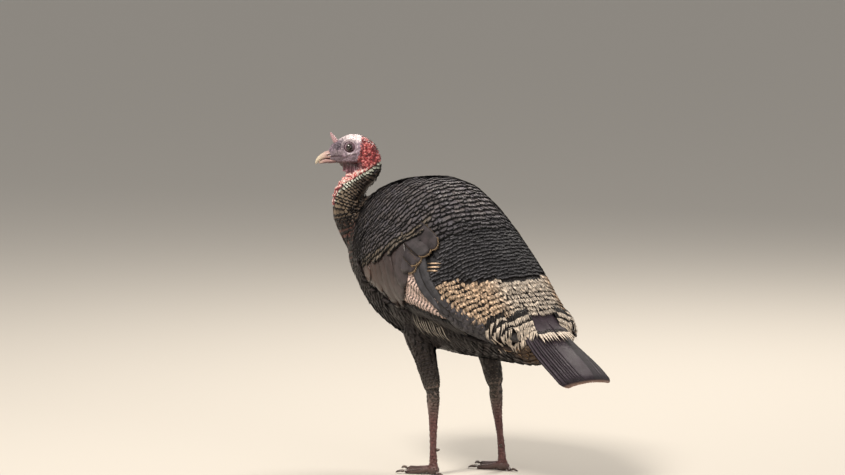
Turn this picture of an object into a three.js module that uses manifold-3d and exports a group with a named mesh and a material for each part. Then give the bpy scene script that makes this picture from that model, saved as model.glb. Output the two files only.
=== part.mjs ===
// A life-size wild turkey, a young male, standing with its neck drawn back and its head turned to its left.
// Millimetres, +Z up. The bird faces -Y and its left side is +X. The floor is z = 0.
import * as THREE from "three";
import { mergeVertices } from "three/addons/utils/BufferGeometryUtils.js";
import Module from "manifold-3d";

// ---- driving dimensions ----
const GAP = 0.35; // clearance between neighbouring pieces
const SMOOTHING = 0.05; // facets closer than this to flat are merged
const BACK_HEIGHT = 527; // top of the arched back
const HOCK_HEIGHT = 150; // ankle joint above the floor
const STANCE = 65; // each leg's distance from the midline
const SOLE_PRESS = 1; // how far the soles' round undersides are pressed flat
const CLAW_LENGTH = 15;
const SPUR_HEIGHT = 44; // the spur's root above the floor
const TAIL_TIP_Y = 346;
const TAIL_TIP_Z = 190;
const HEAD_TURN = THREE.MathUtils.degToRad(52); // the head looks this far to the bird's left
const EYE_LEVEL = new THREE.Vector3(51, -281, 572); // on the head's midplane, between the eyes
const EYE_RADIUS = 7.8;
const EYE_SPREAD = 15.2; // each eyeball's centre from the head's midplane

const X = new THREE.Vector3(1, 0, 0);
const Z = new THREE.Vector3(0, 0, 1);
const HEAD_FORWARD = new THREE.Vector3(Math.sin(HEAD_TURN), -Math.cos(HEAD_TURN), 0);
const HEAD_LEFT = new THREE.Vector3().crossVectors(Z, HEAD_FORWARD);

// ---- solid helpers ----
const wasm = await Module();
wasm.setup();

/** A closed geometry's merged copy, with only positions. */
function bare(geometry) {
  const copy = geometry.clone();
  copy.deleteAttribute("normal");
  copy.deleteAttribute("uv");
  return mergeVertices(copy, 1e-3);
}

/** A geometry as a manifold solid with its faces pointing out. */
function solid(geometry) {
  const merged = bare(geometry);
  const triVerts = new Uint32Array(merged.index.array);
  const vertProperties = merged.attributes.position.array;
  const made = new wasm.Manifold(new wasm.Mesh({ numProp: 3, vertProperties, triVerts }));
  if (made.volume() > 0) return made;
  for (let i = 0; i < triVerts.length; i += 3) triVerts.subarray(i + 1, i + 3).reverse();
  return new wasm.Manifold(new wasm.Mesh({ numProp: 3, vertProperties, triVerts }));
}

/** A manifold solid as a three.js geometry. */
function geometryOf(made) {
  const mesh = made.getMesh();
  const places = new Float32Array(mesh.numVert * 3);
  for (let i = 0; i < mesh.numVert; i++) {
    const start = i * mesh.numProp;
    places.set(mesh.vertProperties.subarray(start, start + 3), i * 3);
  }
  return new THREE.BufferGeometry()
    .setAttribute("position", new THREE.BufferAttribute(places, 3))
    .setIndex(new THREE.BufferAttribute(mesh.triVerts, 1));
}

/** The same solid with its surface moved out along its normals. */
function grown(made, by = GAP) {
  const geometry = geometryOf(made);
  geometry.computeVertexNormals();
  const place = geometry.attributes.position;
  const normal = geometry.attributes.normal;
  for (let i = 0; i < place.count; i++) {
    place.setXYZ(
      i,
      place.getX(i) + by * normal.getX(i),
      place.getY(i) + by * normal.getY(i),
      place.getZ(i) + by * normal.getZ(i),
    );
  }
  return solid(geometry);
}

/** The largest piece of a solid that a cut may have left in several. */
function largest(made) {
  const pieces = made.decompose();
  return pieces.reduce((best, piece) => (piece.volume() > best.volume() ? piece : best));
}

/** A solid less the grown copies of its neighbours, in one piece. */
function clearOf(made, ...neighbours) {
  return largest(neighbours.reduce((left, other) => left.subtract(grown(other).add(other)), made));
}

/**
 * A closed body swept along a curve: the rings of a sphere are moved to the curve's sections.
 * stations: each has at, the section's centre, and size, its half-width, height above and depth below.
 * side: the direction of the width. up: the direction of the height, or null for square to the curve.
 * caps: the share of the length over which each end rounds off. bulk: above 2 makes sections squarer.
 * curl: how far the tops and bottoms of the sections bend back against the side.
 */
function sweep(stations, options = {}) {
  const { side = X, up = null, caps = [0.12, 0.12], bulk = 2, curl = 0, rings = 20, sides = 20 } = options;
  const path = new THREE.CatmullRomCurve3(stations.map((s) => s.at), false, "catmullrom");
  const sizes = new THREE.CatmullRomCurve3(
    stations.map((s) => new THREE.Vector3(...s.size)),
    false,
    "catmullrom",
  );
  const rounding = (along, share) => {
    const into = Math.min(1, along / share);
    return Math.sqrt(1 - (1 - into) ** 2);
  };
  const rise = new THREE.Vector3();
  const geometry = new THREE.SphereGeometry(1, sides, rings);
  const place = geometry.attributes.position;
  const uv = geometry.attributes.uv;
  for (let i = 0; i < place.count; i++) {
    const even = 1 - uv.getY(i);
    const eased = (1 - Math.cos(Math.PI * even)) / 2;
    const t = THREE.MathUtils.clamp(0.45 * even + 0.55 * eased, 0, 1);
    const turn = 2 * Math.PI * (uv.getX(i) % 1);
    const [halfWidth, above, below] = sizes.getPoint(t).toArray();
    const shrink = rounding(t, caps[0]) * rounding(1 - t, caps[1]);
    if (up) rise.copy(up);
    else rise.crossVectors(path.getTangent(t), side).normalize();
    const across = Math.sign(Math.cos(turn)) * Math.abs(Math.cos(turn)) ** (2 / bulk);
    const high = Math.sign(Math.sin(turn)) * Math.abs(Math.sin(turn)) ** (2 / bulk);
    const point = path
      .getPoint(t)
      .addScaledVector(side, across * halfWidth * shrink - curl * high * high * shrink)
      .addScaledVector(rise, high * (high > 0 ? above : below) * shrink);
    place.setXYZ(i, point.x, point.y, point.z);
  }
  return solid(geometry);
}

/** A round tapered body along points, for bills' tips, toes, claws and spurs. */
function taper(points, radii, { side = X, caps = [0.1, 0.1], rings = 8, sides = 10 } = {}) {
  const stations = points.map((at, i) => ({ at, size: [radii[i], radii[i], radii[i]] }));
  return sweep(stations, { side, caps, rings, sides });
}

/** A ball of the given radii. */
function ball(centre, [x, y, z], rings = 8, sides = 12) {
  return solid(new THREE.SphereGeometry(1, sides, rings).scale(x, y, z).translate(...centre.toArray()));
}

/** The same solid mirrored to the bird's other side. */
const mirrored = (made) => made.mirror([1, 0, 0]);

/** What is left of a solid above the floor. */
const onFloor = (made) => made.trimByPlane([0, 0, 1], 0);

// ---- the trunk ----
/** One section of the trunk at y: its back, its keel and its half-width. */
const section = (y, back, keel, halfWidth) => ({
  at: new THREE.Vector3(0, y, (back + keel) / 2),
  size: [halfWidth, (back - keel) / 2, (back - keel) / 2],
});

const TRUNK = [
  section(-303, 454, 345, 50),
  section(-255, 486, 302, 71),
  section(-190, 513, 256, 99),
  section(-115, BACK_HEIGHT, 230, 112),
  section(-40, BACK_HEIGHT - 4, 218, 114),
  section(35, 474, 215, 110),
  section(110, 412, 215, 99),
  section(180, 344, 214, 79),
  section(245, 272, 216, 52),
];
const COVERTS_FROM = 104; // the tail coverts' soft mass starts at this y on the midline
const COVERTS_LEAN = THREE.MathUtils.degToRad(28); // the parting's tilt

const body = sweep(TRUNK, { up: Z, caps: [0.1, 0.08], bulk: 2.25, rings: 24, sides: 22 });

/** The two parts of a solid on either side of a thin cut. */
function partedAt(made, { point, normal }) {
  const direction = normal.clone().normalize();
  const level = direction.dot(point);
  const beyond = made.trimByPlane(direction.toArray(), level + GAP / 2);
  const before = made.trimByPlane(direction.clone().negate().toArray(), GAP / 2 - level);
  return [largest(before), largest(beyond)];
}

// ---- the tail: a folded fan of flight feathers ----
function tailFan() {
  const steps = 5;
  const base = new THREE.Vector3(0, 120, 308);
  const tip = new THREE.Vector3(0, TAIL_TIP_Y, TAIL_TIP_Z);
  const stations = Array.from({ length: steps }, (_, i) => {
    const t = i / (steps - 1);
    return {
      at: base.clone().lerp(tip, t).addScaledVector(Z, 10 * Math.sin(Math.PI * t)),
      size: [36 + 20 * t, 22 - 15 * t, 34 - 28 * t],
    };
  });
  return sweep(stations, { caps: [0.1, 0.09], bulk: 3, rings: 14, sides: 18 });
}

// ---- wings: folded against the flanks ----
/** A folded wing's centre line, its half-thickness and the height of its upper and lower halves. */
const wingSection = (x, y, z, thick, above, below) => ({
  at: new THREE.Vector3(x, y, z),
  size: [thick, above, below],
});
const WING = [
  wingSection(86, -202, 388, 14, 34, 40),
  wingSection(101, -150, 388, 17, 60, 64),
  wingSection(110, -80, 376, 19, 74, 68),
  wingSection(111, 0, 350, 19, 72, 60),
  wingSection(105, 80, 317, 17, 52, 42),
  wingSection(89, 155, 288, 13, 32, 28),
  wingSection(66, 232, 264, 7, 12, 11),
];
const WING_CURL = 13; // the folded wing wraps the flank
const leftWing = () => sweep(WING, { up: Z, caps: [0.14, 0.1], bulk: 2.8, curl: WING_CURL, rings: 16, sides: 14 });

// ---- neck and head, in the plane that the head looks along ----
/** A point of the head's midplane: forward of and above the eye level point. */
const headPoint = (forward, above, left = 0) =>
  EYE_LEVEL.clone()
    .addScaledVector(HEAD_FORWARD, forward)
    .addScaledVector(Z, above)
    .addScaledVector(HEAD_LEFT, left);

/** A round station of the neck. */
const neckStation = (forward, above, radius) => ({
  at: headPoint(forward, above),
  size: [radius, radius, radius],
});
const NECK = [
  neckStation(-26, -6, 19),
  neckStation(-34, -24, 23),
  neckStation(-33, -44, 24),
  neckStation(-18, -62, 24),
  neckStation(-4, -80, 27),
  neckStation(2, -102, 31),
  neckStation(-5, -128, 34),
  neckStation(-25, -155, 42),
  neckStation(-56, -184, 54),
];
/** A cut square to the neck at a point, given forward and up, facing down the neck. */
const neckCut = (forward, above, leanForward) => ({
  point: headPoint(forward, above),
  normal: HEAD_FORWARD.clone().multiplyScalar(leanForward).addScaledVector(Z, -1),
});
const BELOW_HEAD = neckCut(-16, -66, 0.8);
const MID_NECK = neckCut(0, -108, 0.05);
const neck = sweep(NECK, { side: HEAD_LEFT, caps: [0.08, 0.08], rings: 18, sides: 14 });

/** One section of the head: forward of the eye, centre height, half-width, height above and depth below. */
const headSection = (forward, centre, halfWidth, above, below) => ({
  at: headPoint(forward, centre),
  size: [halfWidth, above, below],
});
const HEAD = [
  headSection(-54, -22, 18, 17, 17),
  headSection(-40, -14, 20.5, 22, 25),
  headSection(-22, -8, 22, 27, 29),
  headSection(-2, -6, 21, 28, 28),
  headSection(14, -8, 16.5, 24, 25),
  headSection(28, -12, 11.5, 19, 18),
  headSection(40, -17, 8.5, 13, 11),
];
const THROAT = [
  { at: headPoint(20, -24), size: [7, 8, 10] },
  { at: headPoint(6, -34), size: [11, 12, 15] },
  { at: headPoint(-8, -42), size: [13, 15, 17] },
  { at: headPoint(-24, -50), size: [12, 14, 14] },
];

function headFlesh() {
  const skull = sweep(HEAD, { side: HEAD_LEFT, up: Z, caps: [0.16, 0.12], rings: 14, sides: 16 });
  const throat = sweep(THROAT, { side: HEAD_LEFT, up: Z, caps: [0.3, 0.3], rings: 8, sides: 12 });
  return skull.add(throat);
}

function upperBill() {
  const stations = [
    { at: headPoint(30, -17), size: [8.5, 8.5, 6] },
    { at: headPoint(40, -17), size: [8, 8.5, 5] },
    { at: headPoint(50, -20), size: [6.6, 6.2, 4.4] },
    { at: headPoint(58, -25), size: [4.6, 4, 3.4] },
    { at: headPoint(62.5, -33), size: [1.8, 1.6, 1.6] },
  ];
  return sweep(stations, { side: HEAD_LEFT, caps: [0.1, 0.14], bulk: 2.2, rings: 8, sides: 10 });
}

function lowerBill() {
  const stations = [
    { at: headPoint(22, -26), size: [7.5, 4, 5] },
    { at: headPoint(34, -26.5), size: [6.8, 4.5, 5] },
    { at: headPoint(46, -28.5), size: [5.4, 4.5, 4.2] },
    { at: headPoint(57, -32), size: [2.6, 3, 1.8] },
  ];
  return sweep(stations, { side: HEAD_LEFT, caps: [0.1, 0.16], bulk: 2.2, rings: 7, sides: 10 });
}

function snoodFlesh() {
  const points = [headPoint(22, 4), headPoint(28, 13), headPoint(32, 20), headPoint(35, 26)];
  return taper(points, [5.5, 4.2, 2.8, 1.2], { side: HEAD_LEFT, caps: [0.2, 0.2], rings: 7, sides: 8 });
}

const eyeball = (left) => ball(headPoint(0, 0, left * EYE_SPREAD), [EYE_RADIUS, EYE_RADIUS, EYE_RADIUS]);

// ---- legs ----
/** One leg, by its side of the body (1 is left) and how far back its joints are. */
class Leg {
  constructor(name, side, hockY, footY, kneeY) {
    Object.assign(this, { name, side, hockY, footY, kneeY });
  }

  /** A point of this leg: outward of its own line, at y and z. */
  point(outward, y, z) {
    return new THREE.Vector3(this.side * (STANCE + outward), y, z);
  }

  /** The feathered drumstick, from inside the belly to the ankle. */
  thigh() {
    const rise = this.kneeY - this.hockY;
    const stations = [
      { at: this.point(-4, this.kneeY, HOCK_HEIGHT + 132), size: [34, 40, 40] },
      { at: this.point(-2, this.hockY + 0.72 * rise, HOCK_HEIGHT + 92), size: [27, 31, 29] },
      { at: this.point(0, this.hockY + 0.42 * rise, HOCK_HEIGHT + 56), size: [19, 21, 21] },
      { at: this.point(0, this.hockY + 0.18 * rise, HOCK_HEIGHT + 26), size: [16, 18.5, 18.5] },
      { at: this.point(0, this.hockY + 1, HOCK_HEIGHT - 2), size: [14.5, 16, 16] },
    ];
    return sweep(stations, { caps: [0.15, 0.1], rings: 10, sides: 12 });
  }

  /** The scaled shank, from the ankle joint to the toes. */
  shank() {
    const lean = this.footY - this.hockY;
    const stations = [
      { at: this.point(0, this.hockY, HOCK_HEIGHT + 8), size: [12, 14, 13] },
      { at: this.point(0, this.hockY + 0.1 * lean, HOCK_HEIGHT - 20), size: [11, 13.4, 13] },
      { at: this.point(0, this.hockY + 0.35 * lean, HOCK_HEIGHT - 54), size: [7, 9.4, 9.4] },
      { at: this.point(0, this.hockY + 0.75 * lean, HOCK_HEIGHT - 92), size: [5.5, 7, 7] },
      { at: this.point(0, this.footY, HOCK_HEIGHT - 128), size: [7, 8, 8] },
      { at: this.point(0, this.footY - 1, HOCK_HEIGHT - 138), size: [8, 8.5, 8.5] },
    ];
    return sweep(stations, { caps: [0.08, 0.08], rings: 11, sides: 10 });
  }

  /** The small blunt spur low on the back of the shank, turned inward. */
  spur() {
    const y = this.footY + (SPUR_HEIGHT / HOCK_HEIGHT) * (this.hockY - this.footY);
    const points = [
      this.point(-2, y + 2, SPUR_HEIGHT),
      this.point(-4, y + 8, SPUR_HEIGHT + 1),
      this.point(-5, y + 12, SPUR_HEIGHT + 2.5),
    ];
    return taper(points, [3.8, 3, 1.2], { caps: [0.2, 0.25], rings: 5, sides: 7 });
  }

  /** Each toe: its turn outward in degrees, its length and thickness, and its root's and knuckle's heights. */
  static toes = [
    { name: "middle", turn: 4, length: 72, thick: 6.2, root: 12, knuckle: 7.4 },
    { name: "inner", turn: -34, length: 50, thick: 5.6, root: 12, knuckle: 6.8 },
    { name: "outer", turn: 40, length: 55, thick: 5.4, root: 12, knuckle: 6.6 },
    { name: "hind", turn: 170, length: 23, thick: 4.4, root: 20, knuckle: 14 },
  ];

  /** The point at a share of a toe's length, at a height. */
  toePoint(toe, share, height) {
    const turn = THREE.MathUtils.degToRad(toe.turn);
    const reach = share * toe.length;
    return this.point(Math.sin(turn) * reach, this.footY - Math.cos(turn) * reach, height);
  }

  /** A toe's flesh, pressed flat where it meets the floor. */
  toeFlesh(toe) {
    const radii = [toe.thick + 1, toe.thick, 0.92 * toe.thick, 0.74 * toe.thick];
    const points = [
      this.toePoint(toe, 0, toe.root),
      this.toePoint(toe, 0.32, toe.knuckle),
      this.toePoint(toe, 0.66, radii[2] - SOLE_PRESS),
      this.toePoint(toe, 1, radii[3] - SOLE_PRESS),
    ];
    return taper(points, radii, { side: this.toeSide(toe), caps: [0.2, 0.14], rings: 6, sides: 8 });
  }

  /** The level direction square to a toe. */
  toeSide(toe) {
    const turn = THREE.MathUtils.degToRad(toe.turn);
    return new THREE.Vector3(this.side * Math.cos(turn), Math.sin(turn), 0);
  }

  /** A toe's claw, curving down to just above the floor. */
  claw(toe) {
    const low = 0.62 * toe.thick;
    const reach = CLAW_LENGTH / toe.length;
    const points = [
      this.toePoint(toe, 0.93, low + 1),
      this.toePoint(toe, 1 + 0.4 * reach, low + 1.6),
      this.toePoint(toe, 1 + 0.75 * reach, low),
      this.toePoint(toe, 1 + reach, 1.3),
    ];
    const radii = [2.8, 2.5, 1.9, 0.8];
    return taper(points, radii, { side: this.toeSide(toe), caps: [0.16, 0.2], rings: 5, sides: 6 });
  }

  /** The foot: all four toes and the pad where they join, flat on the floor. */
  foot() {
    const pad = ball(this.point(0, this.footY, 8), [11, 12, 10], 6, 10);
    const flesh = Leg.toes.reduce((whole, toe) => whole.add(this.toeFlesh(toe)), pad);
    return onFloor(flesh);
  }
}

const LEGS = [
  new Leg("left", 1, -16, -15, -66),
  new Leg("right", -1, 1, 20, -44),
];

/** The short brush of bristles that hangs from the middle of the breast. */
function beardBrush() {
  const points = [
    new THREE.Vector3(0, -280, 352),
    new THREE.Vector3(0, -294, 340),
    new THREE.Vector3(0, -298, 320),
    new THREE.Vector3(0, -295, 298),
  ];
  return taper(points, [4.2, 4.6, 4.4, 2.6], { caps: [0.15, 0.12], rings: 7, sides: 8 });
}

// ---- fit the pieces to each other ----
const wings = { left: leftWing(), right: mirrored(leftWing()) };
const eyes = { left: eyeball(1), right: eyeball(-1) };
const beard = beardBrush();
const tailWhole = tailFan();
const snood = snoodFlesh();

const headAndNeck = headFlesh().add(neck);
const partingNormal = new THREE.Vector3(0, Math.cos(COVERTS_LEAN), -Math.sin(COVERTS_LEAN));
const bodyClear = clearOf(body, wings.left, wings.right, beard);
const [trunkFront, coverts] = partedAt(bodyClear, {
  point: new THREE.Vector3(0, COVERTS_FROM, 340),
  normal: partingNormal,
});

const billTop = upperBill();
const billLow = clearOf(lowerBill(), billTop);
const [headWhole, neckWhole] = partedAt(headAndNeck, BELOW_HEAD);
const headClear = clearOf(headWhole, eyes.left, eyes.right, billTop, billLow, snood);
const [neckUpper, neckLower] = partedAt(clearOf(neckWhole, body), MID_NECK);

const colours = {
  head: 0xb9a3ab,
  neck: 0xa8574f,
  horn: 0xd9cbb4,
  eye: 0x2a1a12,
  plumage: 0x3a3538,
  wing: 0x5a4a42,
  tail: 0x4a464a,
  coverts: 0xc9ab84,
  thigh: 0x2e2a2a,
  shank: 0x8a5d55,
  claw: 0x3b2f2a,
};
const matt = (color, roughness = 0.8) => new THREE.MeshStandardMaterial({ color, roughness, metalness: 0 });

const turkey = new THREE.Group();
turkey.name = "wild_turkey";

/** Adds one piece to the bird as a named mesh with its own material. */
function addPiece(name, made, color, roughness) {
  const mesh = new THREE.Mesh(geometryOf(made.simplify(SMOOTHING)), matt(color, roughness));
  mesh.name = name;
  turkey.add(mesh);
}

addPiece("head", headClear, colours.head, 0.6);
addPiece("bill_upper", billTop, colours.horn, 0.4);
addPiece("bill_lower", billLow, colours.horn, 0.4);
addPiece("snood", snood, colours.neck, 0.6);
addPiece("left_eye", eyes.left, colours.eye, 0.1);
addPiece("right_eye", eyes.right, colours.eye, 0.1);
addPiece("neck_upper", neckUpper, colours.neck, 0.6);
addPiece("neck_lower", neckLower, colours.neck, 0.7);
addPiece("trunk", trunkFront, colours.plumage);
addPiece("tail_coverts", coverts, colours.coverts);
addPiece("tail", clearOf(tailWhole, body, wings.left, wings.right), colours.tail);
addPiece("left_wing", wings.left, colours.wing);
addPiece("right_wing", wings.right, colours.wing);
addPiece("beard", beard, colours.thigh);

for (const leg of LEGS) {
  const thigh = leg.thigh();
  const shank = leg.shank();
  const foot = leg.foot();
  const spur = leg.spur();
  addPiece(`${leg.name}_thigh`, clearOf(thigh, body, wings[leg.name]), colours.thigh);
  addPiece(`${leg.name}_shank`, clearOf(shank, thigh, foot, spur), colours.shank, 0.6);
  addPiece(`${leg.name}_spur`, spur, colours.claw, 0.4);
  const claws = Leg.toes.map((toe) => onFloor(leg.claw(toe)));
  addPiece(`${leg.name}_foot`, clearOf(foot, ...claws), colours.shank, 0.6);
  Leg.toes.forEach((toe, i) => addPiece(`${leg.name}_claw_${toe.name}`, claws[i], colours.claw, 0.4));
}

// The origin is on the floor, under the middle of the whole bird's box.
const box = new THREE.Box3().setFromObject(turkey);
const middle = box.getCenter(new THREE.Vector3());
turkey.children.forEach((mesh) => mesh.position.set(-middle.x, -middle.y, -box.min.z));

export default turkey;
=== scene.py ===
"""A wild turkey, a young male: a life-size still model, head turned to its left.

Sizes are millimetres on the bird's own axes (forward -Y, left +X, floor at z = 0).
The frame's origin lies a little behind them, and BirdAxes turns one into the other.
"""

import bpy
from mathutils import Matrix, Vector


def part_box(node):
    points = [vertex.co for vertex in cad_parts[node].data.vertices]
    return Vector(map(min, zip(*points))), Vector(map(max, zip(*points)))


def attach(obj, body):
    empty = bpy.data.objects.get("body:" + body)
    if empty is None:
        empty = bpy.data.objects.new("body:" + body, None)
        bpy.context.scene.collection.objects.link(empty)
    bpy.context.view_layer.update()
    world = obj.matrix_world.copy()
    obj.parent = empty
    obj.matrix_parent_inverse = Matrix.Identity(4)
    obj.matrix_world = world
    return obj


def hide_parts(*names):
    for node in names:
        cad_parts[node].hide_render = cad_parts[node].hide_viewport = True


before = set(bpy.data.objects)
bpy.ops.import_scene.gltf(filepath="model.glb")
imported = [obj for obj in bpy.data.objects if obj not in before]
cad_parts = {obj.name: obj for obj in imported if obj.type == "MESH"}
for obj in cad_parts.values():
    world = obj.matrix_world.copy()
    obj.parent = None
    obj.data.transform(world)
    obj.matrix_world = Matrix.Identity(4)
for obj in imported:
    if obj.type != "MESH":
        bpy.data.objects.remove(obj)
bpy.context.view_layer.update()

import logging
import math
from collections.abc import Callable, Sequence
from dataclasses import dataclass, field
from enum import Enum

import bpy
import numpy as np
from bpy.types import Material, Node, NodeSocket, NodeTree, Object
from mathutils import Vector
from mathutils.bvhtree import BVHTree
from mathutils.kdtree import KDTree

LOG = logging.getLogger("turkey")
MM = 0.001
UP = np.array([0.0, 0.0, 1.0])
TURN = 2 * math.pi
THIRDS = np.array([0.0, 1 / 3, 2 / 3, 1.0])  # where a feather's four points lie along it
EYE_LEVEL = np.array([51.0, -281.0, 572.0])  # on the head's midplane, between the eyes
EYE_SPREAD = 15.2
EYE_RADIUS = 7.8
HEAD_TURN = math.radians(52)
HEAD_FORWARD = np.array([math.sin(HEAD_TURN), -math.cos(HEAD_TURN), 0.0])
HEAD_LEFT = np.array([math.cos(HEAD_TURN), math.sin(HEAD_TURN), 0.0])
NECK = (  # along the head's forward, above the eyes, radius
    (-26, -6, 19), (-34, -24, 23), (-33, -44, 24), (-18, -62, 24), (-4, -80, 27),
    (2, -102, 31), (-5, -128, 34), (-25, -155, 42), (-56, -184, 54),
)
TRUNK_Y = (-303, -255, -190, -115, -40, 35, 110, 180, 245, 300, 346)
TRUNK_MIDDLE = (400, 394, 384, 378, 370, 345, 313, 285, 250, 215, 192)
WING_BACK_Y = (33, 38, 62, 92, 141, 193, 230)
WING_BACK_Z = (460, 378, 348, 322, 294, 284, 262)
SCAPULAR_Y = (-330, -274, -245, -200, -150, -76, -30, -2, 20, 60, 400)
SCAPULAR_Z = (450, 418, 390, 368, 362, 391, 418, 440, 440, 300, 150)

Array = np.ndarray
Colour = tuple[float, float, float]


def unit(vectors: Array) -> Array:
    """Gives the vectors a length of one."""
    return vectors / np.maximum(np.linalg.norm(vectors, axis=-1, keepdims=True), 1e-9)


def smooth_step(values: Array, start: float, end: float) -> Array:
    """Rises from 0 at start to 1 at end with soft shoulders."""
    t = np.clip((values - start) / (end - start), 0, 1)
    return t * t * (3 - 2 * t)


def blend(a: Array, b: Array, share: Array) -> Array:
    """Mixes one or many rows of a with those of b by a share from 0 to 1."""
    share = np.asarray(share)[..., None]
    return np.asarray(a) * (1 - share) + np.asarray(b) * share


def way_along(points: Array) -> Array:
    """Gives the distance from the first of a line's points to each."""
    return np.concatenate([[0], np.cumsum(np.linalg.norm(np.diff(points, axis=0), axis=1))])


def read_along(stops: Array, way: Array, rows: Array) -> Array:
    """Reads a line's rows of three at stops along its way."""
    return np.stack([np.interp(stops, way, rows[:, k]) for k in range(3)], axis=1)


def head_point(forward: Array, left: Array, above: Array) -> Array:
    """Turns places on the turned head's axes into the bird's own.

    Args:
        forward: how far ahead of the eyes.
        left: how far to the head's left.
        above: how far above the eyes.

    Returns:
        The places on the bird's axes.
    """
    along = np.multiply.outer(np.asarray(forward, float), HEAD_FORWARD)
    across = np.multiply.outer(np.asarray(left, float), HEAD_LEFT)
    return EYE_LEVEL + along + across + np.multiply.outer(np.asarray(above, float), UP)


def head_local(points: Array) -> Array:
    """Gives forward, left and above on the turned head's axes."""
    away = points - EYE_LEVEL
    return np.stack([away @ HEAD_FORWARD, away @ HEAD_LEFT, away[..., 2]], axis=-1)


@dataclass(frozen=True)
class BirdAxes:
    """The step from the bird's own millimetres to the frame's metres.

    Attributes:
        shift: what is added to a place on the bird, in millimetres.
    """

    shift: Array

    @classmethod
    def found(cls) -> "BirdAxes":
        """Finds the step from where the left eye stands in the frame.

        Returns:
            The axes.
        """
        low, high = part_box("left_eye")
        centre = np.array((low + high) / 2) / MM
        return cls(centre - (EYE_LEVEL + EYE_SPREAD * HEAD_LEFT))

    def to_frame(self, points: Array) -> Array:
        """Turns the bird's millimetres into the frame's metres."""
        return (points + self.shift) * MM

    def to_bird(self, points: Array) -> Array:
        """Turns the frame's metres into the bird's millimetres."""
        return points / MM - self.shift


AXES = BirdAxes.found()


class Slot(Enum):
    """The record's material slots."""

    BARE_SKIN = "bare_skin"
    BILL = "bill"
    EYE = "eye"
    BODY = "body_plumage"
    WING = "wing_plumage"
    COVERT = "covert_plumage"
    TAIL = "tail_plumage"
    BEARD = "beard"
    LEG = "leg_scales"
    CLAW = "claw"


# ---------------------------------------------------------------- meshes


def select_only(obj: Object) -> None:
    """Deselects everything, then selects one object and makes it active.

    Args:
        obj: the object.
    """
    bpy.ops.object.select_all(action="DESELECT")
    obj.select_set(True)
    bpy.context.view_layer.objects.active = obj


def apply_modifier(obj: Object, kind: str, **settings: object) -> None:
    """Adds a modifier with its settings and applies it.

    Args:
        obj: the piece that is changed.
        kind: the modifier's type.
        settings: the modifier's own values.
    """
    select_only(obj)
    modifier = obj.modifiers.new(kind.lower(), kind)
    for name, value in settings.items():
        setattr(modifier, name, value)
    bpy.ops.object.modifier_apply(modifier=modifier.name)


def edit_all(obj: Object, operator: Callable[..., object], **settings: object) -> None:
    """Runs one edit mode operator on the whole of a mesh.

    Args:
        obj: the piece that is changed.
        operator: the operator.
        settings: the operator's own values.
    """
    select_only(obj)
    bpy.ops.object.mode_set(mode="EDIT")
    bpy.ops.mesh.select_all(action="SELECT")
    operator(**settings)
    bpy.ops.object.mode_set(mode="OBJECT")


def joined_copy(name: str, nodes: Sequence[str], swell: float = 0.0003) -> Object:
    """Joins copies of CAD nodes into one object of closed shells.

    Args:
        name: the new object's name.
        nodes: the CAD nodes that are copied.
        swell: how far each shell grows, in metres, so that neighbours meet.

    Returns:
        The joined copy.
    """
    bpy.ops.object.select_all(action="DESELECT")
    copies = []
    for node in nodes:
        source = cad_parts[node]
        copy = bpy.data.objects.new(node + "_copy", source.data.copy())
        bpy.context.collection.objects.link(copy)
        copy.select_set(True)
        copies.append(copy)
    bpy.context.view_layer.objects.active = copies[0]
    if len(copies) > 1:
        bpy.ops.object.join()
    joined = bpy.context.view_layer.objects.active
    joined.name = joined.data.name = name
    joined.data.materials.clear()
    edit_all(joined, bpy.ops.mesh.remove_doubles, threshold=0.00002)
    if swell:
        apply_modifier(joined, "DISPLACE", strength=swell, mid_level=0.0)
    return joined


def remeshed(obj: Object, voxel: float, smoothing: int) -> Object:
    """Makes one closed even mesh of an object's shells and eases it.

    Args:
        obj: the object to remesh.
        voxel: the size of a cell, in metres.
        smoothing: how many rounds of smoothing follow.

    Returns:
        The same object.
    """
    select_only(obj)
    obj.data.remesh_voxel_size = voxel
    obj.data.use_remesh_preserve_attributes = False
    bpy.ops.object.voxel_remesh()
    if smoothing:
        apply_modifier(obj, "SMOOTH", factor=0.6, iterations=smoothing)
    return obj


def points_of(obj: Object) -> Array:
    """Reads an object's vertices in the bird's millimetres.

    Args:
        obj: the object.

    Returns:
        The places, one row each.
    """
    places = np.empty(len(obj.data.vertices) * 3)
    obj.data.vertices.foreach_get("co", places)
    return AXES.to_bird(places.reshape(-1, 3))


def normals_of(obj: Object) -> Array:
    """Reads an object's vertex normals.

    Args:
        obj: the object.

    Returns:
        The normals, one row each.
    """
    normals = np.empty(len(obj.data.vertices) * 3)
    obj.data.vertices.foreach_get("normal", normals)
    return normals.reshape(-1, 3)


def put_points(obj: Object, points: Array) -> None:
    """Writes an object's vertices from the bird's millimetres."""
    obj.data.vertices.foreach_set("co", AXES.to_frame(points).astype(np.float32).ravel())
    obj.data.update()


def paint(obj: Object, name: str, colours: Array) -> None:
    """Stores a colour for each vertex under a name.

    Args:
        obj: the piece.
        name: the attribute's name.
        colours: rows of three values.
    """
    layer = obj.data.color_attributes.new(name, "FLOAT_COLOR", "POINT")
    rows = np.ones((len(colours), 4), np.float32)
    rows[:, :3] = colours
    layer.data.foreach_set("color", rows.ravel())


def shade_smooth(obj: Object) -> None:
    """Shades every face of a piece smooth."""
    obj.data.polygons.foreach_set("use_smooth", np.ones(len(obj.data.polygons), bool))


def finish_piece(
    obj: Object,
    material: Material,
    nodes: Sequence[str] = (),
) -> Object:
    """Gives a piece its material, body and the nodes that it stands for.

    Args:
        obj: the piece.
        material: what it is dressed in.
        nodes: the CAD nodes that it replaces.

    Returns:
        The same piece.
    """
    obj.data.materials.clear()
    obj.data.materials.append(material)
    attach(obj, "root")
    if nodes:
        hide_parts(*nodes)
    return obj


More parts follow.
